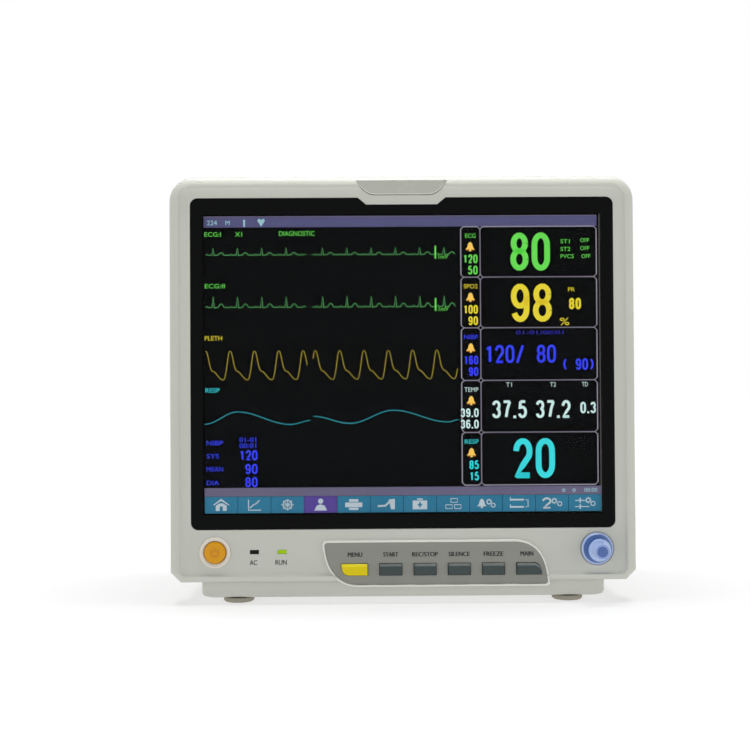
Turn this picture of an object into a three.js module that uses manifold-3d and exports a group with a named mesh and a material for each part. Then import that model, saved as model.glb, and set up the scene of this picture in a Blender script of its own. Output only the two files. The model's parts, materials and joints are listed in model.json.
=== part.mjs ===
// Bedside patient monitor with a 15 inch screen: front bezel with six keys, a power button and a
// turn-and-push knob, a rear cover with a folding handle, patient sockets on one side, a strip
// recorder on the other, battery, mains inlet and ports at the back, and a plinth on four feet.
// Frame, millimetres: X to the right as seen from the front, Y to the rear, Z up,
// origin on the ground under the middle of the whole.

import * as THREE from "three";
import { mergeVertices } from "three/addons/utils/BufferGeometryUtils.js";
import Module from "manifold-3d";

const wasm = await Module();
wasm.setup();

// ---- Driving dimensions ----
const GAP = 0.3; // between neighbours that touch on the real thing
const WALL = 3; // moulded walls of the bezel and the rear cover

const SCREEN = { width: 307.2, height: 230.4, mid: 184.8 }; // lit area of a 15.1 inch 4:3 panel

const BEZEL = {
  half: 180, low: 17, high: 330, front: -71, back: -45.5,
  rim: 7.5, topRadius: 18.5, chamfer: 7.8, lip: 5, flange: 9.5, flangeThick: 3,
};
const FACE_Y = -68.5; // the sunken field inside the rim
const FACE_BACK = -64.5; // back of the bezel's front wall

const GLASS = {
  half: 163.5, low: 57.8, high: 313.4, radius: 5.4, thick: 2.2,
  notchTop: 34, notchBottom: 27.5, notchDepth: 5.4,
};
const LAMP = { high: 326.4, shoulder: 323.8, low: 315.8, halfTop: 35, halfShoulder: 33.5, halfLow: 21 };

const COVER = { half: 174, low: 20, high: 325, front: -45.2, straight: 40, back: 85 };
const PLINTH = { half: 157.5, low: 4, high: 19.7, front: -64, back: 62, radius: 9 };
const FOOT = { radius: 12, x: 129, front: -50, back: 46 };

const KEY = { width: 17, height: 8.8, mid: 26.5, first: -10.1, pitch: 26.4, front: -71.6, back: -62.4 };
const PANEL = { low: 14.9, high: 47.2, left: -61, right: 111.5, front: -69.6, back: -67.4 };

const POWER = { x: -145.4, z: 40.2, radius: 8.3, ring: 12 };
const LED = { ac: -115.1, run: -93.8, z: 40.4, width: 6.4, height: 2.7 };
const KNOB = { x: 149.4, z: 41.4, radius: 12.2, front: -89, back: -68.6, seat: -67.3 };

const HANDLE = { armX: 62, pivotY: 20, pivotZ: 315, gripY: -26, gripHalf: 6.5, armHalf: 4 };
const RECESS = { half: 70, front: -37, back: 28, floor: 301 };

const SOCKET_Y = -4;
const SIDE = { window: [-36, 28], low: 60, high: 240, face: -172.6 };

const REC = { half: 35, low: 67.5, high: 158.5, inner: 114, pivotX: 171.6, pivotZ: 70.2 };
const PAPER = { radius: 20, half: 25, x: 138 };
const PLATEN = { radius: 5, half: 26, x: 164, z: 150 };
const LATCH = { half: 8, low: 162, high: 169.5 };

const BATTERY = { left: -120, right: -20, low: 44.5, high: 79, front: 8 };
const INLET = { x: 95, z: 61, half: 13.7, tall: 10 };
const LAN = { x: 42, z: 60, half: 8, tall: 7 };
const VGA = { x: 8, z: 60, half: 12, tall: 5.5 };
const STUD = { x: 132, z: 58 };

const SEGMENTS = 20; // round parts

// ---- Solids ----

// A three.js geometry as a solid, turned the right way out if it needs to be.
function solid(geometry) {
  const bare = geometry.index ? geometry.toNonIndexed() : geometry.clone();
  bare.deleteAttribute("normal");
  bare.deleteAttribute("uv");
  const merged = mergeVertices(bare, 1e-4);
  const vertProperties = new Float32Array(merged.attributes.position.array);
  const triVerts = new Uint32Array(merged.index.array);
  const made = new wasm.Manifold(new wasm.Mesh({ numProp: 3, vertProperties, triVerts }));
  if (made.volume() > 0) return made;
  for (let i = 0; i < triVerts.length; i += 3) {
    [triVerts[i + 1], triVerts[i + 2]] = [triVerts[i + 2], triVerts[i + 1]];
  }
  return new wasm.Manifold(new wasm.Mesh({ numProp: 3, vertProperties, triVerts }));
}

// A box from its low to its high corner.
function box(x0, x1, y0, y1, z0, z1) {
  const g = new THREE.BoxGeometry(x1 - x0, y1 - y0, z1 - z0);
  g.translate((x0 + x1) / 2, (y0 + y1) / 2, (z0 + z1) / 2);
  return solid(g);
}

// An outline in X and Z, drawn as seen from the front, given depth from y0 back to y1.
function plate(shape, y0, y1) {
  const g = new THREE.ExtrudeGeometry(shape, { depth: y1 - y0, bevelEnabled: false, curveSegments: 10 });
  g.rotateX(Math.PI / 2);
  g.translate(0, y1, 0);
  return solid(g);
}

// Turns about X and then Z that point a lathe's axis along each direction.
const TOWARDS = {
  "-y": [Math.PI, 0],
  "+y": [0, 0],
  "+z": [Math.PI / 2, 0],
  "-x": [0, Math.PI / 2],
  "+x": [0, -Math.PI / 2],
};

// A turned piece. The profile lists [radius, height] from base to tip; the axis says where the tip points.
function turned(profile, axis, at, segments = SEGMENTS) {
  const points = profile.map(([r, h]) => new THREE.Vector2(r, h));
  const g = new THREE.LatheGeometry(points, segments);
  const [aboutX, aboutZ] = TOWARDS[axis];
  g.rotateX(aboutX);
  g.rotateZ(aboutZ);
  g.translate(...at);
  return solid(g);
}

function rod(radius, length, axis, at, segments = SEGMENTS) {
  return turned([[0, 0], [radius, 0], [radius, length], [0, length]], axis, at, segments);
}

// Skin over a row of outlines with the same number of points, each at its own y, ends closed.
function loft(sections) {
  const count = sections[0].points.length;
  const positions = sections.flatMap(({ y, points }) => points.flatMap((p) => [p.x, y, p.y]));
  const faces = [];
  for (let s = 0; s + 1 < sections.length; s++) {
    for (let i = 0; i < count; i++) {
      const a = s * count + i;
      const b = s * count + ((i + 1) % count);
      faces.push(a, b + count, b, a, a + count, b + count);
    }
  }
  const last = (sections.length - 1) * count;
  for (const [i, j, k] of THREE.ShapeUtils.triangulateShape(sections[0].points, [])) {
    faces.push(i, j, k);
  }
  for (const [i, j, k] of THREE.ShapeUtils.triangulateShape(sections.at(-1).points, [])) {
    faces.push(last + k, last + j, last + i);
  }
  const g = new THREE.BufferGeometry();
  g.setAttribute("position", new THREE.Float32BufferAttribute(positions, 3));
  g.setIndex(faces);
  return solid(g);
}

// ---- Outlines ----

// Rectangle with rounded corners, counter-clockwise as seen from the front.
function roundedRect(x0, x1, z0, z1, lowRadius, topRadius = lowRadius, steps = 6) {
  const corners = [
    [x1 - lowRadius, z0 + lowRadius, lowRadius, -90],
    [x1 - topRadius, z1 - topRadius, topRadius, 0],
    [x0 + topRadius, z1 - topRadius, topRadius, 90],
    [x0 + lowRadius, z0 + lowRadius, lowRadius, 180],
  ];
  return corners.flatMap(([x, z, r, from]) =>
    Array.from({ length: steps + 1 }, (_, i) => {
      const angle = ((from + (90 * i) / steps) * Math.PI) / 180;
      return new THREE.Vector2(x + r * Math.cos(angle), z + r * Math.sin(angle));
    }),
  );
}

// The bezel's outline, moved in by an inset: round at the top, 45 degree cuts at the bottom corners.
function bezelOutline(inset) {
  const x = BEZEL.half - inset;
  const low = BEZEL.low + inset;
  const cut = BEZEL.chamfer - inset * (2 - Math.SQRT2);
  const top = roundedRect(-x, x, low, BEZEL.high - inset, 1, BEZEL.topRadius - inset, 8).slice(9, 27);
  return [
    new THREE.Vector2(-x, low + cut),
    new THREE.Vector2(-x + cut, low),
    new THREE.Vector2(x - cut, low),
    new THREE.Vector2(x, low + cut),
    ...top,
  ];
}

// The sunken field inside the rim: round top corners and square bottom ones.
function fieldOutline(grow) {
  const x = BEZEL.half - BEZEL.rim + grow;
  const radius = BEZEL.topRadius - BEZEL.rim + grow;
  return roundedRect(-x, x, BEZEL.low + BEZEL.lip - grow, BEZEL.high - BEZEL.rim + grow, 0.5, radius, 8);
}

// The glass: a rounded rectangle with a shallow notch under the alarm lamp.
function glassOutline(grow) {
  const { half, low, high, radius, notchTop, notchBottom, notchDepth } = GLASS;
  const corners = roundedRect(-half - grow, half + grow, low - grow, high + grow, radius + grow);
  const dip = high + grow - notchDepth;
  const top = high + grow;
  const notch = [[notchTop, top], [notchBottom, dip], [-notchBottom, dip], [-notchTop, top]];
  corners.splice(corners.length / 2, 0, ...notch.map(([x, z]) => new THREE.Vector2(x, z)));
  return new THREE.Shape(corners);
}

// The alarm lamp: wide on top, narrower below, with rounded lower corners.
function lampOutline(grow) {
  const top = LAMP.high + grow;
  const low = LAMP.low - grow;
  const shoulder = LAMP.halfShoulder + grow;
  const flat = LAMP.halfLow + grow;
  const swing = (shoulder + flat) / 2;
  const shape = new THREE.Shape();
  shape.moveTo(-LAMP.halfTop - grow, top);
  shape.lineTo(-shoulder, LAMP.shoulder);
  shape.quadraticCurveTo(-swing, low, -flat, low);
  shape.lineTo(flat, low);
  shape.quadraticCurveTo(swing, low, shoulder, LAMP.shoulder);
  shape.lineTo(LAMP.halfTop + grow, top);
  shape.closePath();
  return shape;
}

// The key panel: square top left and bottom right corners, the other two swept in long curves.
function panelOutline(grow) {
  const { left, right, low, high } = PANEL;
  const shape = new THREE.Shape();
  const corner = 3;
  shape.moveTo(left + corner - grow, high + grow);
  shape.quadraticCurveTo(left - grow, high + grow, left - grow, high - corner + grow);
  shape.quadraticCurveTo(left + 3 - grow, low - grow, left + 27, low - grow);
  shape.lineTo(right - corner + grow, low - grow);
  shape.quadraticCurveTo(right + grow, low - grow, right - 0.4 + grow, low + corner - grow);
  shape.quadraticCurveTo(right - 3 + grow, high + grow, right - 26, high + grow);
  shape.closePath();
  return shape;
}

// One key, its place counted from the start key; the end keys are wider with one swept corner.
function keyOutline(place, grow) {
  const mid = KEY.first + place * KEY.pitch;
  const left = mid - KEY.width / 2 - (place === -1 ? 3 : 0) - grow;
  const right = mid + KEY.width / 2 + (place === 4 ? 2 : 0) + grow;
  const low = KEY.mid - KEY.height / 2 - grow;
  const high = KEY.mid + KEY.height / 2 + grow;
  const shape = new THREE.Shape();
  shape.moveTo(left, high);
  shape.lineTo(left, place === -1 ? high - 1.5 : low);
  if (place === -1) shape.quadraticCurveTo(left + 1, low, left + 6, low);
  shape.lineTo(right, low);
  shape.lineTo(right, place === 4 ? low + 1.5 : high);
  if (place === 4) shape.quadraticCurveTo(right - 1, high, right - 6, high);
  shape.closePath();
  return shape;
}

const KEYS = ["menu", "start", "record", "silence", "freeze", "main"];

// ---- Front ----

// Front bezel: rim, sunken field with its openings, and a hollow back with a flange that meets the cover.
function frontBezel() {
  const skin = [
    { y: BEZEL.front, inset: 3 },
    { y: BEZEL.front + 0.5, inset: 1.4 },
    { y: BEZEL.front + 1.6, inset: 0.4 },
    { y: BEZEL.front + 3.2, inset: 0 },
    { y: BEZEL.back, inset: 0 },
  ];
  const field = [
    { y: BEZEL.front - 1, points: fieldOutline(0.4) },
    { y: FACE_Y, points: fieldOutline(-0.8) },
  ];
  const shelf = BEZEL.back - BEZEL.flangeThick;
  const hollow = [FACE_BACK, shelf].map((y) => ({ y, points: bezelOutline(WALL) }));
  const mouth = [shelf - 1, BEZEL.back + 1].map((y) => ({ y, points: bezelOutline(BEZEL.flange) }));
  let body = loft(skin.map(({ y, inset }) => ({ y, points: bezelOutline(inset) })));
  body = body.subtract(loft(field)).subtract(loft(hollow)).subtract(loft(mouth));
  body = body.add(plate(panelOutline(1.1), -70.2, FACE_BACK));
  body = body.subtract(plate(panelOutline(GAP), -72, PANEL.back + GAP));
  body = body.subtract(plate(glassOutline(GAP), -72, FACE_Y + GLASS.thick + 2 * GAP));
  const halfScreen = SCREEN.width / 2 + 1;
  const tallScreen = SCREEN.height / 2 + 1;
  body = body.subtract(
    box(-halfScreen, halfScreen, -70, -60, SCREEN.mid - tallScreen, SCREEN.mid + tallScreen),
  );
  body = body.subtract(plate(lampOutline(GAP), -72, -66));
  body = body.subtract(box(-20, 20, -70, -60, LAMP.low + 1.6, LAMP.low + 9));
  KEYS.forEach((name, i) => {
    body = body.subtract(plate(keyOutline(i - 1, 0.4), -72, -60));
  });
  body = body.subtract(rod(POWER.ring - 1.3, 12, "-y", [POWER.x, -60, POWER.z]));
  body = body.subtract(rod(KNOB.radius + 1, 6, "-y", [KNOB.x, KNOB.seat, KNOB.z]));
  body = body.subtract(rod(3.8, 12, "-y", [KNOB.x, -60, KNOB.z]));
  for (const x of [LED.ac, LED.run]) {
    const w = LED.width / 2 + GAP;
    const h = LED.height / 2 + GAP;
    body = body.subtract(box(x - w, x + w, -70, -60, LED.z - h, LED.z + h));
  }
  return body;
}

const screenGlass = () => plate(glassOutline(0), FACE_Y + 0.1, FACE_Y + GLASS.thick);

// LCD module: metal frame, with the lit panel standing proud of it through the bezel's window.
function lcdPanel() {
  const halfX = SCREEN.width / 2;
  const halfZ = SCREEN.height / 2;
  const frame = box(-162, 162, -64, -54, SCREEN.mid - 124, SCREEN.mid + 124);
  return frame.add(box(-halfX, halfX, -65.9, -60, SCREEN.mid - halfZ, SCREEN.mid + halfZ));
}

// Steel bracket behind the LCD, with folded sides and the standoffs of the main board.
function lcdBracket() {
  let body = box(-166, 166, -53.7, -52.5, 60, 313);
  for (const x of [-166, 164.8]) body = body.add(box(x, x + 1.2, -64, -52.5, 75, 290));
  for (const x of [-110, 110]) {
    for (const z of [85, 280]) body = body.add(rod(3, 4, "+y", [x, -52.6, z], 8));
  }
  for (const x of [-60, 0, 60]) body = body.subtract(rod(16, 6, "+y", [x, -56, 250], 12));
  return body;
}

function alarmLamp() {
  const body = plate(lampOutline(0), -70, -66.3);
  return body.add(box(-19.5, 19.5, -67, -63.6, LAMP.low + 2, LAMP.low + 8.5));
}

function alarmLedBoard() {
  const mid = LAMP.low + 5;
  let body = box(-32, 32, -61.6, -60, mid - 5.5, mid + 5.5);
  for (const x of [-14, 0, 14]) body = body.add(box(x - 2.5, x + 2.5, -63, -61.5, mid - 2, mid + 2));
  return body;
}

function keyPanel() {
  let body = plate(panelOutline(0), PANEL.front, PANEL.back);
  KEYS.forEach((name, i) => {
    body = body.subtract(plate(keyOutline(i - 1, 0.4), -72, -60));
  });
  return body;
}

// A key cap with the wider foot that keeps it in, and the stem over its switch.
function key(place) {
  const mid = KEY.first + place * KEY.pitch;
  const cap = plate(keyOutline(place, 0), KEY.front, KEY.back - 0.6);
  const edge = plate(keyOutline(place, 1.2), FACE_BACK + GAP, KEY.back);
  const stem = box(mid - 2, mid + 2, KEY.back - 0.2, -60.6, KEY.mid - 2, KEY.mid + 2);
  return cap.add(edge).add(stem);
}

function powerButton() {
  const r = POWER.radius;
  const profile = [
    [0, 0], [2.5, 0], [2.5, 1.5], [r + 1.2, 1.5], [r + 1.2, 2.7], [r, 2.7],
    [r, 9.3], [r - 0.7, 10], [r - 2.5, 10.1], [0, 9.6],
  ];
  return turned(profile, "-y", [POWER.x, -60.4, POWER.z]);
}

// Ring round the power button, dished towards it.
function powerRing() {
  const inner = POWER.radius + 0.4;
  const profile = [
    [inner, 0], [POWER.ring - 1.6, 0], [POWER.ring - 1.6, 5.4], [POWER.ring, 5.4],
    [POWER.ring, 5.9], [POWER.ring - 0.8, 6.3], [inner, 5.1], [inner, 0],
  ];
  return turned(profile, "-y", [POWER.x, -63.4, POWER.z]);
}

function led(x) {
  const w = LED.width / 2;
  const h = LED.height / 2;
  return box(x - w, x + w, FACE_Y + 0.2, -62, LED.z - h, LED.z + h);
}

// Knob: a flange, then a shoulder and a cone that narrows to the lip round the cap.
function navKnob() {
  const r = KNOB.radius;
  const tall = KNOB.back - KNOB.front;
  const profile = [
    [3.4, 0], [r, 0], [r, 1.6], [r - 0.5, 2.3], [r - 1.2, 2.5], [r - 1.8, 6.4], [r - 2.4, 7.4],
    [7.2, tall - 3.6], [6, tall - 0.4], [5.6, tall], [5.2, tall - 0.4], [5.2, tall - 2], [3.4, tall - 2],
    [3.4, 0],
  ];
  return turned(profile, "-y", [KNOB.x, KNOB.back, KNOB.z], 28);
}

function knobCap() {
  const profile = [[0, 0], [4.9, 0], [4.9, 1.3], [4.2, 1.6], [0, 1.2]];
  return turned(profile, "-y", [KNOB.x, KNOB.front + 1.7, KNOB.z]);
}

const encoderShaft = () => rod(3.1, 27, "-y", [KNOB.x, -59.8, KNOB.z], 14);
const encoderPlunger = () => rod(4, 1.6, "-y", [KNOB.x, -57.9, KNOB.z], 14);

// Encoder housing: a cup that the plunger moves in.
function encoderBody() {
  const { x, z } = KNOB;
  const cup = box(x - 7, x + 7, -63.6, -56.3, z - 7, z + 7);
  return cup.subtract(rod(4.4, 8, "-y", [x, -57, z], 14));
}

// Front board with the switches under the keys and the power button.
function keyBoard() {
  let body = box(-158, 166, -56, -54.4, 24, 54);
  const places = KEYS.map((name, i) => [KEY.first + (i - 1) * KEY.pitch, KEY.mid]);
  for (const [x, z] of [...places, [POWER.x, POWER.z]]) {
    body = body.add(box(x - 3, x + 3, -57.4, -55.9, z - 3, z + 3));
    body = body.add(rod(1.6, 1.5, "-y", [x, -57.3, z], 8));
  }
  for (const x of [LED.ac, LED.run]) body = body.add(box(x - 2, x + 2, -61.6, -55.9, LED.z - 1, LED.z + 1));
  return body;
}

// ---- Rear cover and what it carries ----

function coverOutline(y, inset) {
  const { half, low, high, front, straight, back } = COVER;
  const stations = [
    { y: front, half, low, high, top: 16, foot: 7 },
    { y: straight, half, low, high, top: 16, foot: 7 },
    { y: 60, half: 160, low: 22, high: 313, top: 18, foot: 9 },
    { y: 79, half: 147, low: 27, high: 302, top: 18, foot: 11 },
    { y: back, half: 140, low: 34, high: 295, top: 14, foot: 10 },
  ];
  const s = stations[y];
  const points = roundedRect(
    -s.half + inset, s.half - inset, s.low + inset, s.high - inset, s.foot - inset / 2, s.top - inset / 2,
  );
  return { y: s.y, points };
}

function coverShell() {
  const places = [0, 1, 2, 3, 4];
  const outer = loft(places.map((i) => coverOutline(i, 0)));
  const inner = places.map((i) => coverOutline(i, WALL));
  inner[0].y -= 1;
  inner[4].y -= WALL;
  inner[3].y -= 1;
  return outer.subtract(loft(inner));
}

// Ventilation: a row of upright slots through the back.
function ventSlots() {
  const slots = Array.from({ length: 15 }, (_, i) => {
    const x = (i - 7) * 9;
    return box(x - 1.6, x + 1.6, 78, 90, 212, 268);
  });
  return slots.reduce((all, slot) => all.add(slot));
}

function speakerSlots() {
  const slots = Array.from({ length: 5 }, (_, i) => {
    const z = 212 + (i - 2) * 6;
    return box(98, 126, 78, 90, z - 1.2, z + 1.2);
  });
  return slots.reduce((all, slot) => all.add(slot));
}

const SCREWS = [[-131, 50], [131, 92], [-128, 280], [128, 280]];

function rearCover() {
  const { half, front, back, floor } = RECESS;
  let body = coverShell();
  const tub = half + WALL;
  body = body.add(box(-tub, tub, front - WALL, back + WALL, floor - WALL, COVER.high - 1.5));
  body = body.subtract(box(-half, half, front, back, floor, 330));
  for (const [x, z] of SCREWS) body = body.add(rod(6, 14, "+y", [x, 69.5, z], 12));
  for (const [x, z] of SCREWS) {
    body = body.subtract(rod(2.4, 30, "+y", [x, 60, z], 10));
    body = body.subtract(rod(4.3, 10, "+y", [x, 81.2, z], 16));
  }
  const b = BATTERY;
  body = body.add(box(b.left - WALL, b.right + WALL, b.front - WALL, 83, b.low - WALL, b.high + WALL));
  body = body.subtract(box(b.left, b.right, b.front, 90, b.low, b.high));
  body = body.subtract(ventSlots()).subtract(speakerSlots());
  for (const side of [-1, 1]) {
    const start = side > 0 ? half - 1 : -half - 5;
    body = body.subtract(rod(3 + GAP, 6, "+x", [start, HANDLE.pivotY, HANDLE.pivotZ], 24));
  }
  body = body.subtract(box(-180, -165, SIDE.window[0], SIDE.window[1], SIDE.low, SIDE.high));
  body = body.subtract(box(165, 180, -REC.half, REC.half, REC.low, REC.high));
  const pinHole = [REC.pivotX, -REC.half - 2.5, REC.pivotZ];
  body = body.subtract(rod(1.5, 2 * REC.half + 5, "+y", pinHole, 12));
  const l = LATCH;
  body = body.subtract(box(165, 180, -l.half - 0.4, l.half + 0.4, l.low - 0.4, l.high + 0.4));
  for (const { x, z, half: halfX, tall } of [INLET, LAN, VGA]) {
    const w = halfX + GAP;
    const h = tall + GAP;
    body = body.subtract(box(x - w, x + w, 78, 90, z - h, z + h));
  }
  body = body.subtract(rod(3 + GAP, 20, "+y", [STUD.x, 75, STUD.z], 20));
  return body;
}

function plinth() {
  const { half, low, high, front, back, radius } = PLINTH;
  const outline = (inset) => {
    const flat = roundedRect(-half + inset, half - inset, front + inset, back - inset, radius);
    return flat.map((p) => new THREE.Vector2(p.x, -p.y)).reverse();
  };
  const g = loft([
    { y: -high, points: outline(0) },
    { y: -low - 3, points: outline(0) },
    { y: -low - 0.9, points: outline(0.9) },
    { y: -low, points: outline(3) },
  ]);
  let body = g.rotate([-90, 0, 0]).subtract(box(-half + 8, half - 8, -55, 54, 11, 40));
  body = body.add(box(-70, 70, -40, 40, low, 12));
  for (const x of [-50, 50]) {
    for (const y of [-25, 25]) body = body.subtract(rod(2.1, 6.5, "+z", [x, y, low - 1], 16));
  }
  const wide = half + 5;
  body = body.subtract(box(-wide, wide, front - 5, BEZEL.back + GAP, BEZEL.low - GAP, 40));
  body = body.subtract(plate(panelOutline(1.1 + GAP), -75, FACE_BACK + GAP));
  for (const x of [-FOOT.x, FOOT.x]) {
    for (const y of [FOOT.front, FOOT.back]) body = body.subtract(rod(3.6, 12, "+z", [x, y, low - 1], 16));
  }
  return body;
}

// Rubber foot: a chamfered disc with a stub pushed into the plinth.
function foot(x, y) {
  const { radius } = FOOT;
  const top = PLINTH.low - GAP;
  const profile = [
    [0, 0], [radius - 1.2, 0], [radius - 0.3, 0.6], [radius, 1.6], [radius, top],
    [3.3, top], [3.3, 10], [0, 10],
  ];
  return turned(profile, "+z", [x, y, 0], 20);
}

// Folding handle: a grip between two arms that turn on the pins in the recess.
function carryHandle() {
  const { armX, pivotY, pivotZ, gripY, gripHalf, armHalf } = HANDLE;
  const grip = new THREE.Shape(roundedRect(gripY - gripHalf, gripY + gripHalf, -5, 5, 3.5, 4.5, 4));
  const g = new THREE.ExtrudeGeometry(grip, { depth: 2 * armX + 2 * armHalf, bevelEnabled: false });
  g.rotateX(Math.PI / 2);
  g.rotateZ(Math.PI / 2);
  g.translate(-armX - armHalf, 0, pivotZ + 3);
  let body = solid(g);
  for (const x of [-armX, armX]) {
    body = body.add(box(x - armHalf, x + armHalf, gripY, pivotY, pivotZ - 1.5, pivotZ + 6.5));
    body = body.add(rod(6.5, 2 * armHalf, "+x", [x - armHalf, pivotY, pivotZ], 24));
    body = body.subtract(rod(3 + GAP, 30, "+x", [x - 15, pivotY, pivotZ], 24));
  }
  return body;
}

function handlePin(side) {
  const x = side > 0 ? HANDLE.armX - 3.5 : -HANDLE.armX - 11;
  return rod(3, 14.5, "+x", [x, HANDLE.pivotY, HANDLE.pivotZ], 24);
}

// ---- Patient sockets ----

const SOCKETS = {
  ecg_socket: { z: 214, radius: 10, bore: 7.2 },
  spo2_socket: { z: 180, radius: 9, bore: 6.2 },
  temp_socket_1: { z: 112, radius: 6, bore: 3.6 },
  temp_socket_2: { z: 84, radius: 6, bore: 3.6 },
};
const CUFF = { z: 146, radius: 7 };

function connectorPanel() {
  const [front, back] = SIDE.window;
  let body = box(SIDE.face, -169, front + GAP, back - GAP, SIDE.low + GAP, SIDE.high - GAP);
  body = body.add(box(-170.6, -169, front - 5, back + 5, SIDE.low - 5, SIDE.high + 5));
  for (const { z, radius } of [...Object.values(SOCKETS), CUFF]) {
    body = body.subtract(rod(radius + GAP, 20, "+x", [-180, SOCKET_Y, z], 20));
  }
  return body;
}

// Round plug socket: a collar on the panel and a blind bore behind it.
function socket({ z, radius, bore }) {
  const profile = [
    [0, 0], [radius, 0], [radius, 14.2], [radius + 1.8, 14.2], [radius + 1.8, 16.2],
    [radius + 1.2, 17], [bore, 17], [bore, 4], [0, 4],
  ];
  return turned(profile, "-x", [-158.6, SOCKET_Y, z], 20);
}

// Cuff hose fitting: a metal nipple with a fine air hole.
function cuffFitting() {
  const r = CUFF.radius;
  const profile = [
    [0, 0], [r, 0], [r, 14.2], [r + 1.8, 14.2], [r + 1.8, 16], [5, 16], [5, 18.4],
    [4.2, 18.8], [4.2, 20], [3.6, 20.6], [1.6, 20.6], [1.6, 6], [0, 6],
  ];
  return turned(profile, "-x", [-158.6, SOCKET_Y, CUFF.z], 20);
}

// ---- Recorder ----

function recorderBay() {
  const { half, low, high, inner, pivotX, pivotZ } = REC;
  let body = box(inner - 2, 170.6, -half - 2, half + 2, low - 3.5, high + 2);
  body = body.subtract(box(inner, 172, -half, half, low - 1.5, high));
  return body.subtract(rod(1.5, 90, "+y", [pivotX, -45, pivotZ], 16));
}

// Door: a flush plate on a hinge barrel, with the two arms that carry the platen.
function recorderDoor() {
  const { half, pivotX, pivotZ } = REC;
  const side = half - 0.6;
  let body = box(pivotX - 0.6, COVER.half, -side, side, pivotZ + 1.3, 152);
  body = body.add(rod(2.4, 2 * side, "+y", [pivotX, -side, pivotZ], 20));
  for (const y of [-31, 28]) {
    body = body.add(box(PLATEN.x - 3.5, pivotX, y, y + 3, PLATEN.z - 5, PLATEN.z + 1.9));
    body = body.add(rod(3.5, 3, "+y", [PLATEN.x, y, PLATEN.z], 20));
    body = body.subtract(rod(1.8, 3.2, "+y", [PLATEN.x, y - 0.1, PLATEN.z], 16));
  }
  const grip = box(COVER.half - 1, 180, -12, 12, 141, 147);
  return body.subtract(rod(1.5, 90, "+y", [pivotX, -45, pivotZ], 16)).subtract(grip);
}

function recorderHingePin() {
  const half = REC.half + 1.7;
  return rod(1.2, 2 * half, "+y", [REC.pivotX, -half, REC.pivotZ], 16);
}

// Latch button over the door, with a guide behind the cover wall.
function recorderLatch() {
  const { half, low, high } = LATCH;
  const cap = box(169, COVER.half + 1.2, -half, half, low, high);
  return cap.add(box(168, 169.4, -half - 3, half + 3, low, high + 3));
}

// Paper: a wound roll on a hollow core.
function paperRoll() {
  const { radius, half, x } = PAPER;
  const profile = [[6, 0], [radius, 0], [radius, 2 * half], [6, 2 * half], [6, 0]];
  return turned(profile, "+y", [x, -half, REC.low - 1.5 + GAP + radius], 28);
}

function platenRoller() {
  const { radius, half, x, z } = PLATEN;
  const long = 2 * half;
  const profile = [
    [0, -5], [1.5, -5], [1.5, 0], [radius, 0],
    [radius, long], [1.5, long], [1.5, long + 5], [0, long + 5],
  ];
  return turned(profile, "+y", [x, -half, z], 16);
}

function printHead() {
  let body = box(150, 156.5, -26, 26, 140, 156);
  body = body.add(box(156.4, PLATEN.x - PLATEN.radius - GAP, -25, 25, 148, 152));
  return body.add(box(REC.inner + GAP, 150.1, -14, 14, 152, 156));
}

// ---- Back: battery, mains, ports ----

const batteryPack = () => {
  const { left, right, low, high, front } = BATTERY;
  const pack = box(left + 2, right - 2, front + GAP, 79, low + GAP, high - 4);
  return pack.subtract(box(left + 10, left + 30, 76, 90, low + 10, low + 14));
};

function batteryDoor() {
  const { left, right, high } = BATTERY;
  const pivot = { y: 84, z: 46.7 };
  let body = box(left + 0.5, right - 0.5, 82.3, 85, pivot.z + 0.8, high - 0.5);
  body = body.add(rod(1, right - left - 1, "+x", [left + 0.5, pivot.y, pivot.z], 16));
  return body.subtract(box(-80, -60, 84.2, 90, 70, 75));
}

// Mains inlet: a flanged socket with three blades on its floor.
function acInlet() {
  const { x, z, half, tall } = INLET;
  let body = box(x - half, x + half, 62, 86, z - tall, z + tall);
  body = body.add(box(x - 25, x + 25, 85.3, 87.3, z - tall - 2, z + tall + 2));
  body = body.subtract(box(x - half + 1.6, x + half - 1.6, 70, 95, z - tall + 1.6, z + tall - 1.6));
  for (const [dx, dz] of [[-7, 2], [7, 2], [0, -3]]) {
    body = body.add(box(x + dx - 1, x + dx + 1, 69.9, 84, z - dz - 2, z - dz + 2));
  }
  return body;
}

function lanPort() {
  const { x, z, half, tall } = LAN;
  const body = box(x - half, x + half, 66, 85.6, z - tall, z + tall);
  const plug = box(x - 5.9, x + 5.9, 72, 95, z - 5, z + 3);
  const clip = box(x - 3, x + 3, 72, 95, z, z + 5.4);
  return body.subtract(plug).subtract(clip);
}

// Video port: a shell on a plate with a D shaped rim, and a screw post on each side.
function vgaPort() {
  const { x, z, half, tall } = VGA;
  const rim = new THREE.Shape();
  rim.moveTo(x - 8.2, z + 3.8);
  rim.lineTo(x - 7.2, z - 3.8);
  rim.lineTo(x + 7.2, z - 3.8);
  rim.lineTo(x + 8.2, z + 3.8);
  rim.closePath();
  let body = box(x - half, x + half, 70, 83, z - tall, z + tall).add(plate(rim, 82, 87.4));
  for (const side of [-10, 10]) body = body.add(rod(1.4, 4, "+y", [x + side, 82.5, z], 6));
  return body;
}

// Earth stud: a threaded pin with a nut inside and a nut outside.
function earthStud() {
  const { x, z } = STUD;
  const profile = [
    [0, 0], [3, 0], [3, 15.4], [5.5, 15.4], [5.5, 17.4],
    [2.4, 17.4], [2.4, 18.6], [2.9, 18.6], [2.9, 19], [0, 19],
  ];
  return turned(profile, "+y", [x, 70, z], 12);
}

const speaker = () =>
  turned(
    [[0, 0], [10, 0], [10, 8], [19, 14], [19, 16], [17, 16], [6, 11], [0, 12.5]],
    "+y",
    [112, 65, 212],
  );

// ---- Electronics ----

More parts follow.
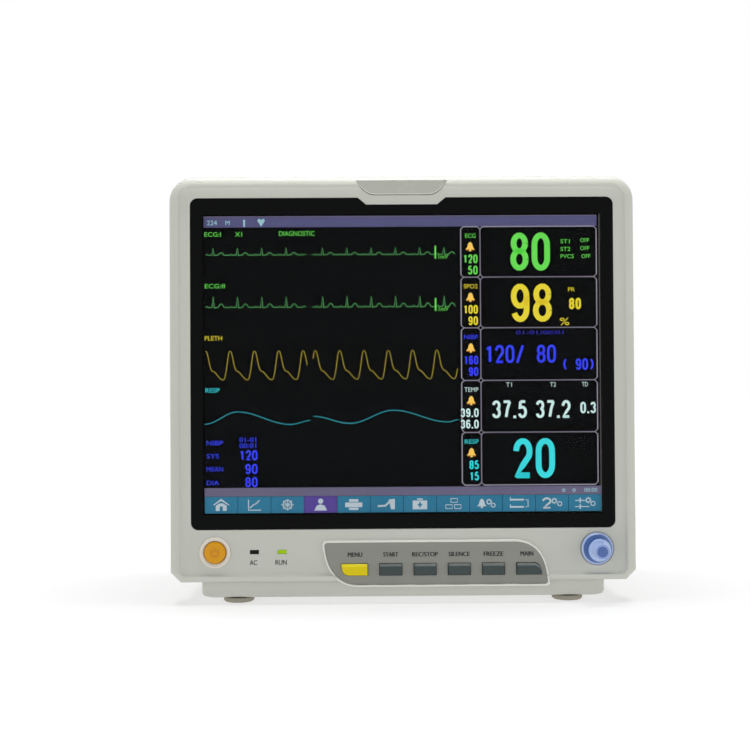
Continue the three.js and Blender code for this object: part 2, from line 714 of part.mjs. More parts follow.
function mainBoard() {
  let body = box(-130, 108, -48.3, -46.7, 75, 292);
  const chips = [[-60, 200, 34, 34], [20, 230, 24, 18], [20, 150, 40, 12], [-90, 110, 20, 30]];
  for (const [x, z, w, h] of chips) {
    body = body.add(box(x, x + w, -46.8, -43.5, z, z + h));
  }
  return body;
}

function powerSupply() {
  const tray = box(0, 88, 77.6, 79.6, 98, 200);
  const parts = [[6, 34, 104, 130], [44, 80, 106, 140], [8, 40, 150, 190], [52, 82, 152, 192]];
  return parts.reduce((body, [x0, x1, z0, z1], i) => body.add(box(x0, x1, 52 + 4 * i, 77.7, z0, z1)), tray);
}

function measuringModule() {
  let body = box(-138, -50, 46, 76, 100, 205);
  for (const x of [-130, -66]) body = body.add(box(x, x + 8, 75.9, 80.5, 106, 200));
  return body;
}

// Cuff pump: a motor can and its head.
function nibpPump() {
  const profile = [[0, 0], [12, 0], [12, 34], [14, 34], [14, 56], [4, 56], [4, 62], [0, 62]];
  const pump = turned(profile, "-x", [-84, -24, 40], 16);
  return pump.add(box(-135, -96, -34, -14, 23.3, 30));
}

const caseScrew = ([x, z]) =>
  turned([[0, 0], [2, 0], [2, 20], [3.8, 20], [3.8, 22], [3, 22.6], [0, 22.6]], "+y", [x, 61.6, z], 10);

// ---- Finishes ----

const FINISH = {
  case: [0xdcdcd6, 0.5, 0],
  glass: [0x0b0c10, 0.08, 0],
  lcd: [0x20242c, 0.3, 0.1],
  steel: [0xa9adb0, 0.35, 0.9],
  board: [0x1f6b45, 0.6, 0],
  lamp: [0xb9bab3, 0.25, 0],
  panel: [0x8b8d86, 0.55, 0],
  yellow: [0xe6d31c, 0.4, 0],
  slate: [0x49545a, 0.5, 0],
  orange: [0xe0961a, 0.35, 0],
  ring: [0xe9eaea, 0.35, 0],
  ledDark: [0x23261f, 0.3, 0],
  ledLit: [0xb9e02a, 0.3, 0],
  blue: [0x8fb0e6, 0.3, 0],
  navy: [0x3a5ea8, 0.3, 0],
  rubber: [0x8f8a7e, 0.9, 0],
  socket: [0x2c3440, 0.5, 0],
  socketBlue: [0x2f5f9e, 0.5, 0],
  paper: [0xf3f1ea, 0.9, 0],
  black: [0x1d1e20, 0.7, 0],
  brass: [0xc8a45a, 0.3, 0.9],
  dark: [0x55595c, 0.6, 0.2],
};

const group = new THREE.Group();

// Puts a solid in the group as a named mesh.
function add(name, made, finish) {
  const { vertProperties, triVerts, numProp } = made.getMesh();
  const positions = new Float32Array((vertProperties.length / numProp) * 3);
  for (let i = 0; i * numProp < vertProperties.length; i++) {
    positions.set(vertProperties.subarray(i * numProp, i * numProp + 3), i * 3);
  }
  const g = new THREE.BufferGeometry();
  g.setAttribute("position", new THREE.BufferAttribute(positions, 3));
  g.setIndex(new THREE.BufferAttribute(new Uint32Array(triVerts), 1));
  g.computeVertexNormals();
  const [color, roughness, metalness] = FINISH[finish];
  const material = new THREE.MeshStandardMaterial({ color, roughness, metalness, flatShading: true });
  const mesh = new THREE.Mesh(g, material);
  mesh.name = name;
  group.add(mesh);
}

add("front_bezel", frontBezel(), "case");
add("screen_glass", screenGlass(), "glass");
add("lcd_panel", lcdPanel(), "lcd");
add("lcd_bracket", lcdBracket(), "steel");
add("alarm_lamp", alarmLamp(), "lamp");
add("alarm_led_board", alarmLedBoard(), "board");
add("key_panel", keyPanel(), "panel");
KEYS.forEach((name, i) => add("key_" + name, key(i - 1), i === 0 ? "yellow" : "slate"));
add("power_button", powerButton(), "orange");
add("power_ring", powerRing(), "ring");
add("led_ac", led(LED.ac), "ledDark");
add("led_run", led(LED.run), "ledLit");
add("nav_knob", navKnob(), "blue");
add("knob_cap", knobCap(), "navy");
add("encoder_shaft", encoderShaft(), "steel");
add("encoder_plunger", encoderPlunger(), "brass");
add("encoder_body", encoderBody(), "dark");
add("key_board", keyBoard(), "board");
add("rear_cover", rearCover(), "case");
add("plinth", plinth(), "case");
add("foot_front_left", foot(-FOOT.x, FOOT.front), "rubber");
add("foot_front_right", foot(FOOT.x, FOOT.front), "rubber");
add("foot_rear_left", foot(-FOOT.x, FOOT.back), "rubber");
add("foot_rear_right", foot(FOOT.x, FOOT.back), "rubber");
add("carry_handle", carryHandle(), "case");
add("handle_pin_left", handlePin(-1), "steel");
add("handle_pin_right", handlePin(1), "steel");
add("connector_panel", connectorPanel(), "panel");
for (const [name, spec] of Object.entries(SOCKETS)) {
  add(name, socket(spec), name.startsWith("spo2") ? "socketBlue" : "socket");
}
add("nibp_socket", cuffFitting(), "steel");
add("recorder_bay", recorderBay(), "dark");
add("recorder_door", recorderDoor(), "case");
add("recorder_hinge_pin", recorderHingePin(), "steel");
add("recorder_latch", recorderLatch(), "slate");
add("paper_roll", paperRoll(), "paper");
add("platen_roller", platenRoller(), "black");
add("print_head", printHead(), "dark");
add("battery_pack", batteryPack(), "black");
add("battery_door", batteryDoor(), "case");
add("ac_inlet", acInlet(), "black");
add("lan_port", lanPort(), "steel");
add("vga_port", vgaPort(), "steel");
add("earth_stud", earthStud(), "brass");
add("speaker", speaker(), "black");
add("main_board", mainBoard(), "board");
add("power_supply", powerSupply(), "steel");
add("measuring_module", measuringModule(), "steel");
add("nibp_pump", nibpPump(), "dark");
SCREWS.forEach((at, i) => add("case_screw_" + (i + 1), caseScrew(at), "steel"));

export default group;
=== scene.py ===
import json
import math

import bmesh
import bpy
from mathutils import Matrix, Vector


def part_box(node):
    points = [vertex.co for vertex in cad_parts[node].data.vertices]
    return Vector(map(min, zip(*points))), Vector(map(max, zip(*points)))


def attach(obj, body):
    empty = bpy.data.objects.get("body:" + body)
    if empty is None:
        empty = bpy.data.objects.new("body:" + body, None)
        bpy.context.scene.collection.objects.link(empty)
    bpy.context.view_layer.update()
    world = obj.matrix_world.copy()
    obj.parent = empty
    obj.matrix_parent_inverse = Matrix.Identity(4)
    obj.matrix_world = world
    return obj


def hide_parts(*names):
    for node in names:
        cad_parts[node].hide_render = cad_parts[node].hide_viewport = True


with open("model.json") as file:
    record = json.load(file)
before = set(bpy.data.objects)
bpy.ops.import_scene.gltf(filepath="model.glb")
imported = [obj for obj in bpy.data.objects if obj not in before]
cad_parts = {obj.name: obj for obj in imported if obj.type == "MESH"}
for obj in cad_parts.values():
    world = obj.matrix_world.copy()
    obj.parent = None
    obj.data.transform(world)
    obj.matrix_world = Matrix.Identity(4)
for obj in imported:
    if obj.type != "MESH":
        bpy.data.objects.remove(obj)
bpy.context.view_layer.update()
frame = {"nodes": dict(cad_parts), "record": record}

MM = 0.001


# ---------------------------------------------------------------- places taken from the frame

class Place:
    """A CAD node's box in mm: sides, middle and size."""

    def __init__(self, node):
        low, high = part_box(node)
        self.left, self.front, self.foot = (v / MM for v in low)
        self.right, self.back, self.top = (v / MM for v in high)
        self.x = (self.left + self.right) / 2
        self.z = (self.foot + self.top) / 2
        self.wide = self.right - self.left
        self.tall = self.top - self.foot


BEZEL, GLASS, LCD = Place("front_bezel"), Place("screen_glass"), Place("lcd_panel")
PANEL, KNOB, CAP = Place("key_panel"), Place("nav_knob"), Place("knob_cap")
POWER, RING, LAMP = Place("power_button"), Place("power_ring"), Place("alarm_lamp")

SCREEN_W = 307.2  # lit area, mm
SCREEN_H = 230.4
SCREEN_LEFT = -SCREEN_W / 2
SCREEN_TOP = GLASS.z - 0.8 + SCREEN_H / 2
CASE_TOP = 330.0  # upper edge of the bezel
CASE_FOOT = 17.0  # lower edge of the bezel; only the surround of the key panel hangs below it
FACE_Y = -68.5  # the bezel's sunken field
FACE_BACK = -64.5  # the back of the wall that carries the glass, keys and knob
PANEL_DEEP = -62.0  # how far back the surround of the key panel reaches
KNOB_SEAT = -67.3  # floor of the shallow seat round the knob


# ---------------------------------------------------------------- materials

def srgb(code):
    """A hex colour as linear red, green, blue."""
    parts = [((code >> shift) & 255) / 255 for shift in (16, 8, 0)]
    return [c / 12.92 if c <= 0.04045 else ((c + 0.055) / 1.055) ** 2.4 for c in parts]


def ramp_between(tree, source, low, high, start=0.3, end=0.7):
    """A colour ramp from low to high, driven by a noise output."""
    ramp = tree.nodes.new("ShaderNodeValToRGB")
    ramp.color_ramp.elements[0].position = start
    ramp.color_ramp.elements[1].position = end
    ramp.color_ramp.elements[0].color = (*low, 1)
    ramp.color_ramp.elements[1].color = (*high, 1)
    tree.links.new(source, ramp.inputs["Fac"])
    return ramp.outputs["Color"]


def noise(tree, scale, detail=3.0):
    """The output of a noise texture laid in the object's own space."""
    coords = tree.nodes.new("ShaderNodeTexCoord")
    made = tree.nodes.new("ShaderNodeTexNoise")
    made.inputs["Scale"].default_value = scale
    made.inputs["Detail"].default_value = detail
    tree.links.new(coords.outputs["Object"], made.inputs["Vector"])
    return made.outputs["Fac"]


def surface(
    name, colour, rough, spread=0.04, grain=900, relief=0.06, metal=0.0, coat=0.0, shine=0.5
):
    """A finish whose colour, roughness and fine relief vary over the surface."""
    mat = bpy.data.materials.new(name)
    mat.use_nodes = True
    tree = mat.node_tree
    shader = tree.nodes["Principled BSDF"]
    base = srgb(colour)
    dark = [c * (1 - spread) for c in base]
    light = [min(1.0, c * (1 + spread)) for c in base]
    tree.links.new(ramp_between(tree, noise(tree, 14), dark, light), shader.inputs["Base Color"])
    low, high = [max(0.03, rough - 0.05)] * 3, [min(1.0, rough + 0.07)] * 3
    tree.links.new(ramp_between(tree, noise(tree, 70), low, high), shader.inputs["Roughness"])
    bump = tree.nodes.new("ShaderNodeBump")
    bump.inputs["Strength"].default_value = relief
    bump.inputs["Distance"].default_value = 0.0002
    tree.links.new(noise(tree, grain, 2.0), bump.inputs["Height"])
    tree.links.new(bump.outputs["Normal"], shader.inputs["Normal"])
    shader.inputs["Metallic"].default_value = metal
    shader.inputs["Coat Weight"].default_value = coat
    shader.inputs["Specular IOR Level"].default_value = shine
    return mat


# How much of a lit colour is pigment under the room's light, and how much of it glows.
PIGMENT, GLOW = 0.5, 0.5


def glowing(name, colour, strength):
    """A lit display colour, a little uneven in brightness as a backlight is."""
    mat = surface(name, colour, 0.6, relief=0.0, shine=0.02)
    tree = mat.node_tree
    shader = tree.nodes["Principled BSDF"]
    base = srgb(colour)
    dark = [c * 0.85 for c in base]
    uneven = ramp_between(tree, noise(tree, 40), dark, base)
    tree.links.new(uneven, shader.inputs["Emission Color"])
    shader.inputs["Emission Strength"].default_value = strength * GLOW
    dim_dark, dim_base = ([c * PIGMENT for c in tone] for tone in (dark, base))
    pigment = ramp_between(tree, noise(tree, 14), dim_dark, dim_base)
    tree.links.new(pigment, shader.inputs["Base Color"])
    return mat


def clear_pane(name):
    """The window over the display: see-through, with a faint gloss."""
    mat = bpy.data.materials.new(name)
    mat.use_nodes = True
    tree = mat.node_tree
    tree.nodes.clear()
    out = tree.nodes.new("ShaderNodeOutputMaterial")
    mix = tree.nodes.new("ShaderNodeMixShader")
    mix.inputs["Fac"].default_value = 0.002
    clear = tree.nodes.new("ShaderNodeBsdfTransparent")
    gloss = tree.nodes.new("ShaderNodeBsdfGlossy")
    smear = ramp_between(tree, noise(tree, 60), [0.08] * 3, [0.14] * 3)
    tree.links.new(smear, gloss.inputs["Roughness"])
    tree.links.new(clear.outputs[0], mix.inputs[1])
    tree.links.new(gloss.outputs[0], mix.inputs[2])
    tree.links.new(mix.outputs[0], out.inputs["Surface"])
    return mat


CASE = surface("case_plastic", 0xC1C2B9, 0.45, spread=0.012, grain=1500, relief=0.1, shine=0.4)
FINISHES = {
    "case": CASE,
    "glass": surface("black_glass", 0x020303, 0.1, relief=0.01, shine=0.07),
    "lcd": surface("display_black", 0x030405, 0.4, relief=0.02, shine=0.02),
    "steel": surface("plain_steel", 0xA9ADB0, 0.3, metal=0.9),
    "board": surface("circuit_board", 0x1F6B45, 0.5, spread=0.1),
    "lamp": surface("lamp_window", 0xACADA3, 0.25, spread=0.03, relief=0.02, coat=0.3),
    "panel": surface("key_panel_grey", 0x888981, 0.5, spread=0.02),
    "yellow": surface("key_yellow", 0xDEC800, 0.35, spread=0.03, shine=0.2),
    "slate": surface("key_slate", 0x3A4545, 0.42, spread=0.05, shine=0.3),
    "orange": surface("power_orange", 0xD69600, 0.35, spread=0.05, coat=0.05, shine=0.25),
    "ring": surface("ring_white", 0xDAD5CA, 0.3, spread=0.01),
    "led_dark": surface("lamp_unlit", 0x0C0D0B, 0.35, shine=0.15),
    "led_lit": glowing("lamp_lit", 0xA6D020, 0.9),
    "blue": surface("knob_blue", 0xA9BEEE, 0.25, spread=0.05, coat=0.4),
    "navy": surface("knob_navy", 0x3F5FA2, 0.3, spread=0.06, coat=0.3),
    "rubber": surface("foot_rubber", 0x989284, 0.75, spread=0.08, relief=0.2),
    "socket": surface("socket_dark", 0x2C3440, 0.45, spread=0.06),
    "socket_blue": surface("socket_blue", 0x2F5F9E, 0.4, spread=0.06),
    "paper": surface("paper_white", 0xF3F1EA, 0.85, spread=0.02, relief=0.15),
    "black": surface("black_plastic", 0x1D1E20, 0.6, spread=0.1),
    "brass": surface("plain_brass", 0xC8A45A, 0.3, metal=0.9),
    "dark": surface("dark_plastic", 0x55595C, 0.55, spread=0.06),
}
LIT = {
    name: glowing("lit_" + name, colour, strength)
    for name, colour, strength in (
        ("green", 0x6FE85A, 0.95), ("trace_green", 0x6CC874, 0.9), ("yellow", 0xF4E03C, 0.95),
        ("trace_yellow", 0xC8B440, 0.9), ("cyan", 0x3FE6EC, 0.95), ("trace_cyan", 0x3AAFC0, 0.95),
        ("blue", 0x3A48FF, 1.0), ("dim_blue", 0x3A36C8, 0.7), ("pale", 0xD8F6F4, 0.95),
        ("white", 0xA8D8E0, 0.85), ("line", 0xA9A4B4, 0.8), ("bar", 0x5D5C86, 0.8),
        ("strip", 0x716C88, 0.8), ("cell", 0x367E9F, 0.85), ("marked", 0x5B4A9A, 0.9),
        ("icon", 0xC4D2DA, 0.85), ("amber", 0xFFD060, 1.0), ("edge", 0x6A6864, 0.5),
        ("deep_amber", 0xC8761E, 0.9),
    )
}

# ---------------------------------------------------------------- CAD nodes shown as they are

# How wide the soft edge on each moulded or turned node is, mm.
EDGE = {
    "rear_cover": 1.0, "plinth": 1.6, "carry_handle": 1.4, "key_panel": 0.25, "alarm_lamp": 0.4,
    "recorder_door": 0.6, "battery_door": 0.4, "recorder_latch": 0.5, "connector_panel": 0.4,
    "foot_front_left": 0.8, "foot_front_right": 0.8, "foot_rear_left": 0.8, "foot_rear_right": 0.8,
}
DEFAULT_EDGE = 0.2
SMOOTH_ANGLE = math.radians(35)


def soften(obj, width):
    """Welds the CAD facets, rounds the edges and shades across shallow facets."""
    mesh = obj.data
    if "custom_normal" in mesh.attributes:
        mesh.attributes.remove(mesh.attributes["custom_normal"])
    for polygon in mesh.polygons:
        polygon.use_smooth = True
    weld = obj.modifiers.new("weld", "WELD")
    weld.merge_threshold = 0.00002
    bevel = obj.modifiers.new("edge", "BEVEL")
    bevel.width = width * MM
    bevel.segments = 3
    bevel.limit_method = "ANGLE"
    bevel.angle_limit = SMOOTH_ANGLE
    bevel.harden_normals = True


for row in frame["record"]["subparts"]:
    node = frame["nodes"][row["node"]]
    node.data.materials.clear()
    node.data.materials.append(FINISHES[row["material_slot"]])
    soften(node, EDGE.get(row["node"], DEFAULT_EDGE))


# ---------------------------------------------------------------- mesh helpers

def piece(name, verts, faces, material, body="case", smooth=False):
    """A new mesh piece that rides on a CAD body; its vertices are in mm."""
    mesh = bpy.data.meshes.new(name)
    mesh.from_pydata([Vector(v) * MM for v in verts], [], faces)
    mesh.validate()
    mesh.materials.append(material)
    for polygon in mesh.polygons:
        polygon.use_smooth = smooth
    obj = bpy.data.objects.new(name, mesh)
    bpy.context.scene.collection.objects.link(obj)
    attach(obj, body)
    return obj


def stands_for(obj, slot, *nodes):
    """Hides the CAD nodes that a piece is shown in place of; its slot argument is not used."""
    if nodes:
        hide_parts(*nodes)
    return obj


def loop_faces(count, rows, closed):
    """Faces between rows of points that each go round; closed joins the last row to the first."""
    faces = []
    for i in range(rows if closed else rows - 1):
        here, there = i * count, ((i + 1) % rows) * count
        for k in range(count):
            after = (k + 1) % count
            faces.append((here + k, here + after, there + after, there + k))
    return faces


def outward(obj):
    """Turns every face of a closed piece outwards."""
    mesh = bmesh.new()
    mesh.from_mesh(obj.data)
    bmesh.ops.remove_doubles(mesh, verts=mesh.verts, dist=1e-6)
    bmesh.ops.recalc_face_normals(mesh, faces=mesh.faces)
    mesh.to_mesh(obj.data)
    mesh.free()
    return obj


def turned(name, profile, centre, material, body, hollow=False, segments=96):
    """A piece turned about an axis towards the front; the profile lists radius and y, in mm."""
    verts = []
    for radius, y in profile:
        for k in range(segments):
            angle = 2 * math.pi * k / segments
            verts.append((
                centre.x + radius * math.cos(angle), y, centre.z + radius * math.sin(angle)
            ))
    faces = loop_faces(segments, len(profile), hollow)
    if not hollow:
        faces.append(list(range(segments)))
        faces.append([len(verts) - 1 - k for k in range(segments)])
    return outward(piece(name, verts, faces, material, body, smooth=True))


def bend(start, pull, end, steps=10):
    """A smooth curve from start to end, drawn towards the pull point."""
    points = []
    for k in range(1, steps + 1):
        t = k / steps
        a, b, c = (1 - t) ** 2, 2 * t * (1 - t), t * t
        points.append(tuple(a * p + b * q + c * r for p, q, r in zip(start, pull, end)))
    return points


def arc(x, z, radius, start, end, steps=10):
    """Points on a circle, angles in degrees."""
    turn = [math.radians(start + (end - start) * k / steps) for k in range(steps + 1)]
    return [(x + radius * math.cos(t), z + radius * math.sin(t)) for t in turn]


class Layer:
    """Flat shapes of one colour, gathered into one mesh. x runs right and y down, in mm."""

    def __init__(self):
        self.verts = []
        self.faces = []

    def poly(self, points):
        start = len(self.verts)
        self.verts += list(points)
        self.faces.append(list(range(start, start + len(points))))

    def rect(self, x0, y0, x1, y1):
        self.poly([(x0, y1), (x1, y1), (x1, y0), (x0, y0)])

    def disc(self, x, y, radius, steps=20):
        turn = 2 * math.pi / steps
        self.poly([
            (x + radius * math.cos(turn * k), y - radius * math.sin(turn * k))
            for k in range(steps)
        ])

    def line(self, points, width):
        """A ribbon of even width along the points."""
        start = len(self.verts)
        count = len(points)
        for i, (x, y) in enumerate(points):
            ahead, behind = points[min(i + 1, count - 1)], points[max(i - 1, 0)]
            dx, dy = ahead[0] - behind[0], ahead[1] - behind[1]
            length = math.hypot(dx, dy) or 1.0
            nx, ny = -dy / length * width / 2, dx / length * width / 2
            self.verts += [(x + nx, y + ny), (x - nx, y - ny)]
        for i in range(count - 1):
            a = start + 2 * i
            self.faces.append([a, a + 2, a + 3, a + 1])

    def oval(self, x, y, rx, ry, width, start=0.0, end=360.0, steps=24):
        turn = [math.radians(start + (end - start) * k / steps) for k in range(steps + 1)]
        self.line([(x + rx * math.cos(t), y - ry * math.sin(t)) for t in turn], width)

    def ring(self, x, y, radius, width, start=0.0, end=360.0):
        self.oval(x, y, radius, radius, width, start, end)

    def text(self, words, x0, y0, x1, y1, bold=0.0):
        """Letters stretched to fill a box; bold letters are laid twice, that far apart."""
        curve = bpy.data.curves.new("words", "FONT")
        curve.body = words
        curve.resolution_u = 3
        holder = bpy.data.objects.new("words", curve)
        bpy.context.scene.collection.objects.link(holder)
        bpy.context.view_layer.update()
        graph = bpy.context.evaluated_depsgraph_get()
        mesh = bpy.data.meshes.new_from_object(holder.evaluated_get(graph))
        places = [v.co for v in mesh.vertices]
        low_x, high_x = min(p.x for p in places), max(p.x for p in places)
        low_y, high_y = min(p.y for p in places), max(p.y for p in places)
        for nudge in (0, bold) if bold else (0,):
            start = len(self.verts)
            for p in places:
                across = (p.x - low_x) / (high_x - low_x)
                down = (high_y - p.y) / (high_y - low_y)
                self.verts.append((x0 + nudge + across * (x1 - x0 - bold), y0 + down * (y1 - y0)))
            self.faces += [[start + k for k in polygon.vertices] for polygon in mesh.polygons]
        bpy.data.objects.remove(holder)
        bpy.data.curves.remove(curve)
        bpy.data.meshes.remove(mesh)

    def digits(self, words, x0, y0, x1, y1, width, point=0.45):
        """Tall narrow figures drawn with a stroke of even width, spread over a box."""
        slim = {".": point, "(": 0.8, ")": 0.8}
        cells = [slim.get(mark, 1.0) for mark in words]
        space = 0.16
        unit = (x1 - x0) / (sum(cells) + space * (len(cells) - 1))
        x = x0
        for mark, cell in zip(words, cells):
            self.figure(mark, x, y0, x + cell * unit, y1, width)
            x += (cell + space) * unit

    def figure(self, mark, x0, y0, x1, y1, width):
        """One figure inside a box; the strokes stay inside it."""
        half = width / 2
        left, top, wide, tall = x0 + half, y0 + half, x1 - x0 - width, y1 - y0 - width

        def at(u, v):
            return (left + u * wide, top + v * tall)

        def round_part(u, v, ru, rv, start, end, steps=14):
            turn = [math.radians(start + (end - start) * k / steps) for k in range(steps + 1)]
            return [at(u + ru * math.cos(t), v - rv * math.sin(t)) for t in turn]

        if mark == "0":
            path = round_part(0.5, 0.3, 0.5, 0.3, 0, 180) + round_part(0.5, 0.7, 0.5, 0.3, 180, 360)
            self.line(path + [path[0]], width)
        elif mark == "1":
            self.line([at(0.15, 0.2), at(0.4, 0.13), at(0.62, 0.0), at(0.62, 1.0)], width)
        elif mark == "2":
            top_part = round_part(0.5, 0.3, 0.5, 0.3, 178, -28)
            self.line(top_part + [at(0.5, 0.7), at(0.04, 1.0), at(1.0, 1.0)], width)
            self.line([at(0.0, 1.0), at(1.0, 1.0)], width)
        elif mark == "3":
            self.line(round_part(0.48, 0.25, 0.46, 0.25, 170, -80), width)
            self.line(round_part(0.48, 0.73, 0.5, 0.27, 80, -165), width)
        elif mark == "5":
            low_part = round_part(0.46, 0.68, 0.52, 0.32, 120, -160)
            self.line([at(0.92, 0.0), at(0.16, 0.0)], width)
            self.line([at(0.16, 0.0), at(0.07, 0.48)] + low_part, width)
        elif mark == "6":
            self.line(round_part(0.5, 0.7, 0.48, 0.3, 0, 360), width)
            self.line(round_part(0.5, 0.32, 0.48, 0.32, 25, 180) + [at(0.02, 0.7)], width)
        elif mark == "7":
            self.line([at(0.0, 0.0), at(1.0, 0.0)], width)
            self.line([at(1.0, 0.0), at(0.62, 0.45), at(0.38, 1.0)], width)
        elif mark == "8":
            self.line(round_part(0.5, 0.245, 0.46, 0.245, 0, 360), width)
            self.line(round_part(0.5, 0.735, 0.5, 0.265, 0, 360), width)
        elif mark == "9":
            self.line(round_part(0.5, 0.3, 0.48, 0.3, 0, 360), width)
            self.line([at(0.98, 0.3)] + round_part(0.5, 0.68, 0.48, 0.32, 0, -155), width)
        elif mark == ".":
            self.rect(x0 + (x1 - x0) / 2 - half, y1 - width, x0 + (x1 - x0) / 2 + half, y1)
        elif mark == "/":
            self.line([at(0.0, 1.06), at(0.9, -0.04)], width)
        elif mark == "(":
            self.line(round_part(1.3, 0.5, 1.3, 0.55, 115, 245), width)
        elif mark == ")":
            self.line(round_part(-0.3, 0.5, 1.3, 0.55, 65, -65), width)

    def lay(self, name, material, left, top, y, body="case"):
        """Lays the shapes on an upright plane facing the front."""
        places = [(left + x, y, top - down) for x, down in self.verts]
        obj = piece(name, places, self.faces, material, body)
        mesh = bmesh.new()
        mesh.from_mesh(obj.data)
        for face in mesh.faces:
            if face.normal.y > 0:
                face.normal_flip()
        mesh.to_mesh(obj.data)
        mesh.free()
        return obj


# ---------------------------------------------------------------- outlines, mm as seen from the front

CORNER_STEPS = 10
NOTCH = (34.0, 27.5, 5.4)  # half width on top, half width below, depth


def case_outline(inset, lift=1.0):
    """The front's outer outline: round above, with cut corners below.

    A lift under 1 moves the foot in by less than the sides.
    """
    half, high = BEZEL.right - inset, CASE_TOP - inset
    low = CASE_FOOT + inset * lift
    radius, cut = max(18.5 - inset, 2.5), max(7.8 - 0.59 * inset, 1.5)
    right = arc(half - radius, high - radius, radius, 0, 90, CORNER_STEPS)
    left = [(-x, z) for x, z in reversed(right)]
    top = [(x, high) for x in (NOTCH[0], NOTCH[1], -NOTCH[1], -NOTCH[0])]
    slope = [k / CORNER_STEPS for k in range(CORNER_STEPS + 1)]
    left_foot = [(-half + cut * t, low + cut * (1 - t)) for t in slope]
    right_foot = [(-x, z) for x, z in reversed(left_foot)]
    return right + top + left + left_foot + right_foot


def glass_outline(grow):
    """The glass: round corners and a shallow notch under the lamp."""
    half, high, low = GLASS.right + grow, GLASS.top + grow, GLASS.foot - grow
    radius = 5.4 + grow
    right = arc(half - radius, high - radius, radius, 0, 90, CORNER_STEPS)
    left = [(-x, z) for x, z in reversed(right)]
    wide, narrow, dip = NOTCH
    top = [(wide, high), (narrow, high - dip), (-narrow, high - dip), (-wide, high)]
    left_foot = arc(-half + radius, low + radius, radius, 180, 270, CORNER_STEPS)
    right_foot = [(-x, z) for x, z in reversed(left_foot)]
    return right + top + left + left_foot + right_foot


def panel_outline(grow):
    """The key panel: its lower left and upper right corners are swept in long curves."""
    left, right = PANEL.left - grow, PANEL.right + grow
    low, high = PANEL.foot - grow, PANEL.top + grow
    corner = 3
    points = [(left + corner, high)]
    points += bend(points[-1], (left, high), (left, high - corner), 5)
    points += bend(points[-1], (left + 3, low), (PANEL.left + 27, low), 14)
    points += [(right - corner, low)]
    points += bend(points[-1], (right, low), (right - 0.4, low + corner), 5)
    points += bend(points[-1], (right - 3, high), (PANEL.right - 26, high), 14)
    return points


# ---------------------------------------------------------------- front bezel

def rounded_rim():
    """Inset and y of the rim, from the side, over its crown and down a cove to the sunken face."""
    crown, side = BEZEL.front, -65.6
    return (
        (0.0, side), (0.3, side - 1.2), (1.0, side - 2.3), (2.2, side - 3.3), (3.8, side - 4.3),
        (5.4, crown + 0.45), (6.4, crown + 0.08), (7.0, crown), (7.5, crown + 0.2),
        (7.9, crown + 0.9), (8.3, crown + 1.6), (9.2, crown + 2.0), (11.0, crown + 2.3),
        (14.0, FACE_Y),
    )


def bezel():
    """The moulded front: side wall, rounded rim, cove, face and the window for the glass."""
    wall = 3.0
    flange, flange_thick = 9.5, 3.0
    foot_lift = 0.66
    shelf = BEZEL.back - flange_thick
    cut_to = FACE_BACK + 2
    ring_hole, knob_hole, shaft_hole = 10.6, 13.2, 3.8
    rows = [[(x, BEZEL.back, z) for x, z in case_outline(0)]]
    rows += [[(x, y, z) for x, z in case_outline(inset, foot_lift)] for inset, y in rounded_rim()]
    rows += [[(x, y, z) for x, z in glass_outline(0.4)] for y in (FACE_Y, FACE_BACK)]
    for inset, y in ((wall, FACE_BACK), (wall, shelf), (flange, shelf), (flange, BEZEL.back)):
        rows.append([(x, y, z) for x, z in case_outline(inset)])
    verts = [v for row in rows for v in row]
    faces = loop_faces(len(rows[0]), len(rows), True)
    obj = outward(piece("bezel_shell", verts, faces, CASE, smooth=True))
    stands_for(obj, "case", "front_bezel")
    lamp_pocket = -66.2
    holes = [round_cutter(RING, ring_hole, cut_to), round_cutter(KNOB, knob_hole, KNOB_SEAT)]
    holes.append(round_cutter(KNOB, shaft_hole, cut_to))
    holes += [box_cutter(Place(node), 0.3, cut_to) for node in ("led_ac", "led_run")]
    holes.append(outline_cutter(panel_outline(0.2), cut_to))
    holes.append(outline_cutter(lamp_outline(0.3), lamp_pocket))
    cut_out(obj, holes)
    edge = obj.modifiers.new("edge", "BEVEL")
    edge.width = 0.25 * MM
    edge.segments = 2
    edge.limit_method = "ANGLE"
    edge.angle_limit = math.radians(50)
    edge.harden_normals = True


def lamp_outline(grow):
    """The alarm lamp: wide on top, narrower below, with rounded lower corners."""
    top, low = LAMP.top + grow, LAMP.foot - grow
    shoulder, flat, step = 33.5 + grow, 21 + grow, LAMP.top - 2.6
    swing = (shoulder + flat) / 2
    points = [(-LAMP.right - grow, top), (-shoulder, step)]
    points += bend(points[-1], (-swing, low), (-flat, low), 8)
    points += [(-x, z) for x, z in reversed(points)]
    return points


def outline_cutter(outline, back):
    """A solid with the given outline that cuts from in front of the bezel to the given depth."""
    front = BEZEL.front - 3
    count = len(outline)
    verts = [(x, front, z) for x, z in outline] + [(x, back, z) for x, z in outline]
    faces = loop_faces(count, 2, False) + [list(range(count)), list(range(count, 2 * count))]
    return outward(piece("cutter", verts, faces, CASE))


def round_cutter(place, radius, back, segments=96):
    """A round cutter at the middle of a node."""
    turn = [2 * math.pi * k / segments for k in range(segments)]
    outline = [(place.x + radius * math.cos(t), place.z + radius * math.sin(t)) for t in turn]
    return outline_cutter(outline, back)


def box_cutter(place, room, back):
    """A cutter the size of a node, with room round it."""
    x0, x1 = place.left - room, place.right + room
    z0, z1 = place.foot - room, place.top + room
    return outline_cutter([(x0, z0), (x1, z0), (x1, z1), (x0, z1)], back)


